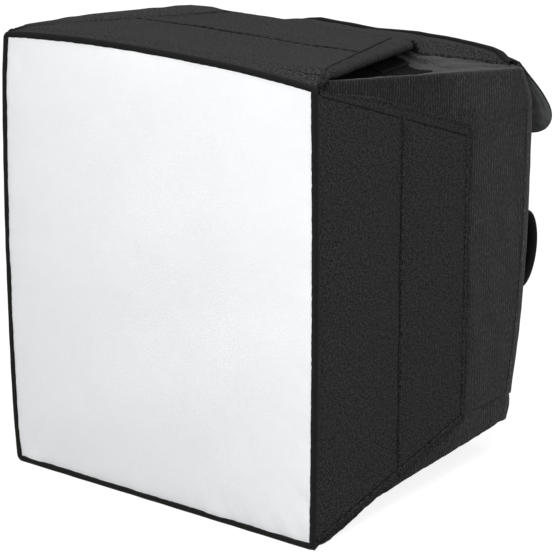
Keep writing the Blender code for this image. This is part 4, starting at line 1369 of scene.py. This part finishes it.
def make_level_margin(wall, length, seed):
    end = PANEL_END + length
    v = np.linspace(PANEL_END + 0.0005, end - PLAY, 44)[:, None]
    u = np.linspace(-1, 1, 120)[None] * back_half(wall, v)
    v = v + 0 * u
    edge = np.exp(-(back_half(wall, v) - np.abs(u)) / 0.002)
    w = margin_height(wall, u, v) + 0.0003 * ripple(u, v, 0.025, seed) * (1 - edge)
    points = on_wall(wall, u, v, w)
    piece = add_grid(wall + "_margin_cloth", points, pair(u, v), nylon)
    give_thickness(piece, 0.0010)
    dress(piece, wall + "_back", "cover_nylon", wall + "_margin")
    seams = []
    up = outwards(wall, u, v, w)
    for column in (1, -2):
        seams.append((points[:, column] + up[:, column] * 0.25, up[:, column]))
    seam = add_stitches(wall + "_margin_seam", seams, 0.0046, 0.0040, 0.0012, -0.0001)
    dress(seam, wall + "_back", "cover_nylon")
    declare(piece, points, 0.2, 0.056)
    profile = np.array([(0.1, -1.1), (-0.1, 1.5), (0.5, 2.3), (2.2, 2.5), (4.0, 2.1), (4.8, 0.9),
                        (4.6, -0.9), (2.5, -1.3)]) / 1000
    if wall == "bottom":
        profile[:, 1] *= 0.5
    share = np.linspace(-1, 1, 130)[None]
    v = end + profile[:, :1] + 0 * share
    u = share * back_half(wall, v)
    w = profile[:, 1:] + margin_height(wall, u, v) + 0.0002 * ripple(u, v, 0.02, seed + 1)
    band = on_wall(wall, u, v, w)
    hem = add_grid(wall + "_hem_band", band, pair(v, u), tape, wrap_rows=True)
    face_outwards(hem)
    dress(hem, wall + "_hem_band", "cover_nylon", wall + "_hem")
    v = np.linspace(end - 0.0030, end + 0.0012, 12)[:, None]
    u = np.linspace(-1, 1, 130)[None] * back_half(wall, v)
    v = v + 0 * u
    web = on_wall(wall, u, v, margin_height(wall, u, v) + 0.0001)
    strip = add_grid(wall + "_hem_web", web, pair(u, v), nylon)
    give_thickness(strip, 0.0008)
    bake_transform(strip)


make_level_margin("top", TOP_BACK, 81)
make_level_margin("bottom", BOTTOM_BACK, 84)

# %% [markdown]
# ## Tongues
#
# A tongue behind the top and the bottom hem wraps round the flash head. Its
# inner side is covered with loop pile, which the flash's own hook band grips.
# No flash is inside here, so the top one droops.

# %% Tongues with their pile
def tongue_frame(wall):
    """Hinge point of a tongue, and its directions along and up."""
    if wall == "top":
        angle = SLOPE + DROP + math.radians(24.5)
        hinge = on_wall("top", 0.0, PANEL_END + MARGIN_RUN, 0.00025 - DEEP)
        return hinge, np.array([0, math.cos(angle), -math.sin(angle)]), np.array(
            [0, math.sin(angle), math.cos(angle)])
    return np.array([0, PANEL_END + 0.056 - SETBACK, 0.0027]), np.array([0, 1.0, 0]), np.array(
        [0, 0, -1.0])


def tongue_points(wall, border, height, rows, columns):
    """Grid over a tongue: a slanted strip with round tip corners, curled inwards.

    The curl grows with the square of the way out, the side edges curl
    further, and the root keeps the spring of the hem.
    """
    length, base, tip, curl, corner = 0.058, 0.042, 0.038, 0.0, 0.014
    if wall == "top":
        length, base, tip, curl, corner = 0.0685, 0.0975, 0.1010, 0.009, 0.030
    hinge, along, up = tongue_frame(wall)
    p = np.linspace(border + PLAY, length - border, rows)[:, None]
    slanted = base + (tip - base) * p / length
    turn = np.clip(p - (length - corner), 0, corner) / corner
    half = slanted - corner * (1 - np.sqrt(1 - turn ** 2)) - border
    u = np.linspace(-1, 1, columns)[None] * half
    p = p + 0 * u
    bend = curl * (p / length) ** 2
    edge = 0.35 * curl * (p / length) * (u / base) ** 2
    q = height + 0.0007 - bend - edge
    if wall == "top":
        fade = 1 - smooth(p / 0.034)
        q = q + fade * spring("top", u * TOP_CORNER / base, PANEL_END + MARGIN_RUN + 0 * u)
        q = q + 0.0010 * ripple(u, p, 0.05, 91) * smooth(p / 0.02)
    q = q + 0.00025 * ripple(u, p, 0.02, 92) * (1 if wall == "top" else 0.4)
    side = np.array([1.0, 0, 0])
    points = hinge + u[..., None] * side + p[..., None] * along + q[..., None] * up
    return points, pair(u, p), up


def make_tongue(wall):
    name = wall + "_tongue"
    points, uv, up = tongue_points(wall, 0.0, 0.0, 60, 110)
    piece = add_grid(name + "_cloth", points, uv, nylon)
    # The second side of the tongue's shell, its border too, takes the pale pile: painted light on
    # the border, which lies in shade.
    piece.data.materials.append(pile)
    solid = give_thickness(piece, 0.0011).modifiers[-1]
    solid.material_offset = 1
    dress(piece, wall + "_flap", "cover_nylon", name)
    inner, inner_uv, _ = tongue_points(wall, 0.0045, -0.0009, 60, 110)
    patch = add_grid(name + "_pile", inner, inner_uv, pile)
    give_thickness(patch, 0.0008)
    dress(patch, wall + "_flap", "loop_pile", name + "_patch")
    rim = np.concatenate([points[3:, 3], points[-4, 3:-3], points[::-1, -4][:-3]])
    normal = np.broadcast_to(up, rim.shape)
    rims = [(rim + up * 0.00055, normal), (rim - up * 0.0006, -normal)]
    seam = add_stitches(name + "_seam", rims, 0.0046, 0.0040, 0.0018)
    dress(seam, wall + "_flap", "cover_nylon")
    width, length = (0.195, 0.066) if wall == "top" else (0.085, 0.058)
    declare(piece, points, width, length)
    if wall == "top":
        share = np.linspace(0, 1, 9)[:, None, None]
        u = points[0, :, 0]
        v = PANEL_END + 0.0545 + 0 * u
        start = on_wall("top", u, v, 0.0002 + margin_height("top", u, v))
        finish = points[6]
        web = start[None] * (1 - share) + finish[None] * share
        web = web + 0.0006 * np.sin(np.pi * share) * up
        strip = add_grid("top_tongue_web", web, web[..., :2], nylon)
        give_thickness(strip, 0.0014)
        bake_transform(strip)


for wall in LEVELS:
    make_tongue(wall)

# %% [markdown]
# ## Corner strips
#
# Along the slanted edges of the top panels a flap of nylon covers the gusset
# and closes on it with hook-and-loop tape. The left one lies flat and reaches
# almost to the side wall. The right one has come loose and rolled itself up
# into a tube. One section does for both: a flat run that ends in a roll.

# %% Flaps over the upper gussets
LEAN = math.atan(TAPER)


def strip_size(wall_side, v):
    """Share of the length, width and roll radius at depth v: narrow in front, full behind."""
    share = np.clip((v - LEVEL_HINGE) / (PANEL_END - LEVEL_HINGE), 0, 1)
    if wall_side > 0:
        grown = smooth((v - 0.0020) / 0.017)
        return share, 0.0012 + 0.0040 * grown + 0.0076 * share, 0.0005 + 0.0019 * grown
    room = np.maximum(TAPER * v - 0.0004, 0.0012) / math.cos(LEAN)
    return share, np.minimum(0.0030 + 0.0285 * np.sqrt(share), room), 0.0010 + 0 * v


def strip_surface(wall_side, v, across, high, lift_angle):
    """Turns a flat section about the panel's edge by the lift, times the share of the length."""
    share, _, _ = strip_size(wall_side, v)
    lift = lift_angle * share
    turned = across * np.cos(lift) - high * np.sin(lift)
    raised = across * np.sin(lift) + high * np.cos(lift)
    edge = wall_side * level_half(v)
    u = edge + wall_side * math.cos(LEAN) * turned
    puffed = dome("top", edge, v) + 0.0002
    return on_wall("top", u, np.minimum(v + math.sin(LEAN) * turned, PANEL_END), raised + puffed)


def strip_lift(wall_side):
    return math.radians(-7.0 if wall_side > 0 else -2.0)


def make_strip(wall_side, part):
    """Rows run to the rear. At the free end the roll closes like the end of a sausage."""
    lift = strip_lift(wall_side)
    start, end = {"start": (0.0022, LEVEL_HINGE + PLAY), "front": (LEVEL_HINGE - PLAY, MID_FOLD),
                  "rear": (MID_FOLD, PANEL_END - 0.0052)}[part]
    v = start + (end - start) * np.sin(np.linspace(0, 1, 70) * np.pi / 2)[:, None]
    _, width, radius = strip_size(wall_side, v)
    if part == "rear":
        close = np.sqrt(np.clip(1 - ((v - end + 0.0024) / 0.0024) ** 2, 0.01, 1))
        close = np.where(v > end - 0.0024, close, 1.0)
        width, radius = width - radius * (1 - close), radius * close
    if part == "start":
        radius = radius * 0.97
    t = np.linspace(0, 1, 48)[None]
    flat = np.clip(t / 0.40, 0, 1)
    rolled = np.clip((t - 0.40) / 0.60, 0, 1)
    turn = rolled * np.pi * 1.8
    shrink = 1 - 0.22 * rolled
    across = -0.0010 + (width - radius + 0.0010) * flat + radius * shrink * np.sin(turn)
    high = -radius * (1 - shrink * np.cos(turn)) + 0.0003 * np.sin(np.pi * flat)
    high = high + 0.00030 * ripple(v + 0 * t, t * 0.01 + 0 * v, 0.016, 95)
    across = across + 0.0004 * ripple(v + 0 * t, 0 * t + 0 * v, 0.028, 96) * t
    points = strip_surface(wall_side, v, across, high, lift)
    word = side_word(wall_side)
    name = word + "_" + part + "_strip"
    uv = pair(t * 0.03, v)
    piece = add_grid(name + "_cloth", points, uv, nylon)
    give_thickness(piece, 0.0005)
    line = strip_surface(wall_side, v, 0.0006 + 0 * v, 0.0003 + 0 * v, lift)[:, 0]
    seams = [(line, np.broadcast_to([0.0, 0.0, 1.0], line.shape))]
    size = (0.0046, 0.0040, 0.0014, -0.0002) if wall_side > 0 else (0.0029, 0.0022, 0.0006, 0.0001)
    seam = add_stitches(name + "_seam", seams, *size)
    if part == "start":
        dress(piece, "front_frame", "cover_nylon")
        dress(seam, "front_frame", "cover_nylon")
        declare(piece, points, 0.012, 0.012)
        return
    dress(piece, "top_" + part + "_panel", "cover_nylon", word + "_" + part + "_strip")
    dress(seam, "top_" + part + "_panel", "cover_nylon")
    declare(piece, points, 0.035, 0.062)
    press_flat(piece)
    press_flat(seam)


def make_fastener(wall_side):
    """Loop tape under the strip, and on the gusset below it a near-black sheet of painted shade and
    hook tape.
    """
    word = side_word(wall_side)
    v = np.linspace(0.088, 0.1235, 50)[:, None]
    t = np.linspace(0, 1, 14)[None]
    first, wide = (0.0012, 0.0062) if wall_side > 0 else (0.0020, 0.0075)
    under = strip_surface(wall_side, v, first + wide * t, -0.0008 + 0 * t, strip_lift(wall_side))
    uv = pair(t * wide, v)
    loop = add_grid(word + "_loop_strip", under, uv, pile)
    give_thickness(loop, 0.0007)
    dress(loop, "top_rear_panel", "loop_pile", word + "_loop_tape")
    press_flat(loop)
    grid = gussets[(wall_side, True)]
    depth = grid[:, 60, 1] + SETBACK
    rows = (depth > 0.088) & (depth < 0.124)
    # The near-black sheet on the gusset under the strip is painted shade: the strip shades the
    # gusset there.
    shaded_rows = (depth > 0.014) & (depth < 0.122)
    dark = grid[shaded_rows][:, 44:74] + np.array([0, 0, 0.0007])
    lining = add_grid(word + "_gusset_painted_shade", dark, dark[..., :2], felt)
    give_thickness(lining, 0.0004)
    dress(lining, "front_frame", "loop_pile")
    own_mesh(lining)
    patch = grid[rows][:, 58:72] + np.array([0, 0, 0.0013])
    hook = add_grid(word + "_hook_strip", patch, patch[..., :2], hooks)
    give_thickness(hook, 0.0007)
    dress(hook, "front_frame", "hook_tape", word + "_hook_tape")
    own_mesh(hook)


for wall_side in (1, -1):
    for part in ("start", "front", "rear"):
        make_strip(wall_side, part)
    make_fastener(wall_side)

# %% [markdown]
# The loose flap has been opened and closed often, so the edge of its pile is
# frayed. Each fibre is a thin ribbon that hangs, leans and curls at its tip.

# %% Frayed pile under the loose flap
def make_fray():
    """Ribbons of five rows; the lean grows with the square of the way down."""
    rng = np.random.default_rng(101)
    count = 90
    v = np.sort(rng.uniform(0.098, 0.1262, count))
    root = strip_surface(1, v, 0.0078 + rng.uniform(0, 0.0022, count), np.full(count, -0.0024),
                         strip_lift(1))
    down = np.linspace(0, 1, 5)[None, :, None]
    length = rng.uniform(0.0015, 0.0048, count) * (0.5 + 0.5 * smooth((v - 0.100) / 0.02))
    lean = rng.normal(0, 1, (count, 1, 3)) * np.array([0.9, 0.9, 0.2])
    hang = down * np.array([0.25, 0.1, -1.0]) + down ** 2 * lean * 0.45
    middle = root[:, None] + length[:, None, None] * hang
    half = 0.00016 * (1 - 0.6 * down) * np.array([0.6, 0.8, 0.0])
    points = np.stack([middle - half, middle + half], axis=2)
    number = np.arange(count * 10).reshape(count, 5, 2)
    quads = np.stack([number[:, :-1, 0], number[:, :-1, 1],
                      number[:, 1:, 1], number[:, 1:, 0]], axis=-1)
    uv = points[..., ::2].reshape(-1, 2)
    # The fibres take the near-black painted-shade pile: they hang in the shadow under the rolled
    # strip.
    piece = add_mesh("right_pile_fray", points.reshape(-1, 3), quads.reshape(-1, 4).tolist(),
                     uv[quads.ravel()], felt)
    give_thickness(piece, 0.00012)
    dress(piece, "top_rear_panel", "loop_pile")
    press_flat(piece)
    print("fibres:", count)


make_fray()

# %% [markdown]
# ## Tape loops
#
# A bowed loop of tape behind each side hem is held while the softbox is pulled
# off the flash. Its ends are folded narrow where they are sewn in.

# %% Tape carried along an arch
def make_loop(wall):
    """Half an ellipse behind the hem; the tape's inner edge drops as it clears the fold."""
    turn = np.linspace(0, np.pi, 60)[:, None]
    rise = 0.112 - 0.021 * np.cos(turn)
    behind = 0.0122 * np.sin(turn)
    v = hem_depth(rise) + behind - 0.0012
    out = np.concatenate([np.sin(turn) * 0.7, -np.cos(turn)], axis=1)
    section = np.array([(0.5, -0.0015), (0.7, -0.0012), (0.7, 0.0), (0.5, 0.0003), (-0.5, 0.0003),
                        (-0.7, 0.0), (-0.7, -0.0012), (-0.5, -0.0015)])
    inner = np.minimum(np.clip(v - 0.1926, 0, 1) * 2.0, 0.0058)
    thick = section[None, :, 0] / 1000
    w = np.where(section[None, :, 1] > -0.0005, -0.0013 + section[None, :, 1],
                 -0.0015 + section[None, :, 1] - inner)
    v = v + thick * out[:, :1]
    points = on_wall(wall, across_side(wall, rise + thick * out[:, 1:]), v, w)
    uv = pair(w + 0 * v, rise)
    piece = add_grid(wall + "_pull_loop", points, uv, tape, wrap=True)
    face_outwards(piece)
    dress(piece, wall + "_back", "edge_tape", wall + "_tape_loop")


for wall in SIDES:
    make_loop(wall)

# %% [markdown]
# ## Floor, light and camera
#
# A white sweep and soft lamps, as in a product photograph. The camera stands
# where the photographer stood: in front, to the right and a little above.

# %% Floor and world
def make_floor():
    """Grey to the lamps, so that it throws little light back, but white to the camera."""
    made = bpy.data.materials.new("paper_floor")
    made.use_nodes = True
    tree = made.node_tree
    shader = tree.nodes["Principled BSDF"]
    shader.inputs["Base Color"].default_value = (0.16, 0.16, 0.16, 1)
    shader.inputs["Roughness"].default_value = 0.9
    rays = tree.nodes.new("ShaderNodeLightPath")
    shader.inputs["Emission Color"].default_value = (1, 1, 1, 1)
    seen = calc(tree, "MAXIMUM", rays.outputs["Is Camera Ray"], rays.outputs["Is Glossy Ray"])
    seen = calc(tree, "MAXIMUM", seen, rays.outputs["Is Transmission Ray"])
    tree.links.new(calc(tree, "MULTIPLY", seen, 0.87), shader.inputs["Emission Strength"])
    points = 8.0 * np.array([(-1, -1, 0), (1, -1, 0), (1, 1, 0), (-1, 1, 0)])
    floor = add_mesh("floor", points, [(0, 1, 2, 3)], points[:, :2], made)


def make_world():
    world = bpy.data.worlds.new("studio")
    world.use_nodes = True
    tree = world.node_tree
    ground = tree.nodes["Background"]
    ground.inputs[0].default_value = (1, 1, 1, 1)
    rays = tree.nodes.new("ShaderNodeLightPath")
    seen = calc(tree, "MAXIMUM", rays.outputs["Is Camera Ray"], rays.outputs["Is Transmission Ray"])
    tree.links.new(calc(tree, "MULTIPLY_ADD", seen, 0.70, 0.30), ground.inputs[1])
    bpy.context.scene.world = world


def add_lamp(name, kind, place, power, size):
    light = bpy.data.lights.new(name, kind)
    light.energy = power
    if kind == "SUN":
        light.angle = size
    else:
        light.size = size
    lamp = bpy.data.objects.new(name, light)
    lamp.location = place
    lamp.rotation_euler = (Vector((0, 0, 0.1)) - Vector(place)).to_track_quat("-Z", "Y").to_euler()
    bpy.context.scene.collection.objects.link(lamp)


make_floor()
make_world()
add_lamp("key", "AREA", (0.38, -1.05, 0.62), 10.2, 0.5)
add_lamp("fill", "AREA", (0.72, -0.25, 0.60), 1.2, 0.30)
add_lamp("sky", "SUN", (0.1, 0.4, 3.0), 2.50, math.radians(60))

# %% Camera
def place_camera():
    data = bpy.data.cameras.new("camera")
    data.sensor_width = 36.0
    data.lens = 167.14
    camera = bpy.data.objects.new("camera", data)
    camera.location = (0.8196, -1.0661, 0.5324)
    aim = Vector((0.008, -0.0075, 0.10165)) - Vector(camera.location)
    camera.rotation_euler = aim.to_track_quat("-Z", "Y").to_euler()
    bpy.context.scene.collection.objects.link(camera)
    bpy.context.scene.camera = camera


place_camera()
bpy.context.scene.view_settings.view_transform = "Standard"
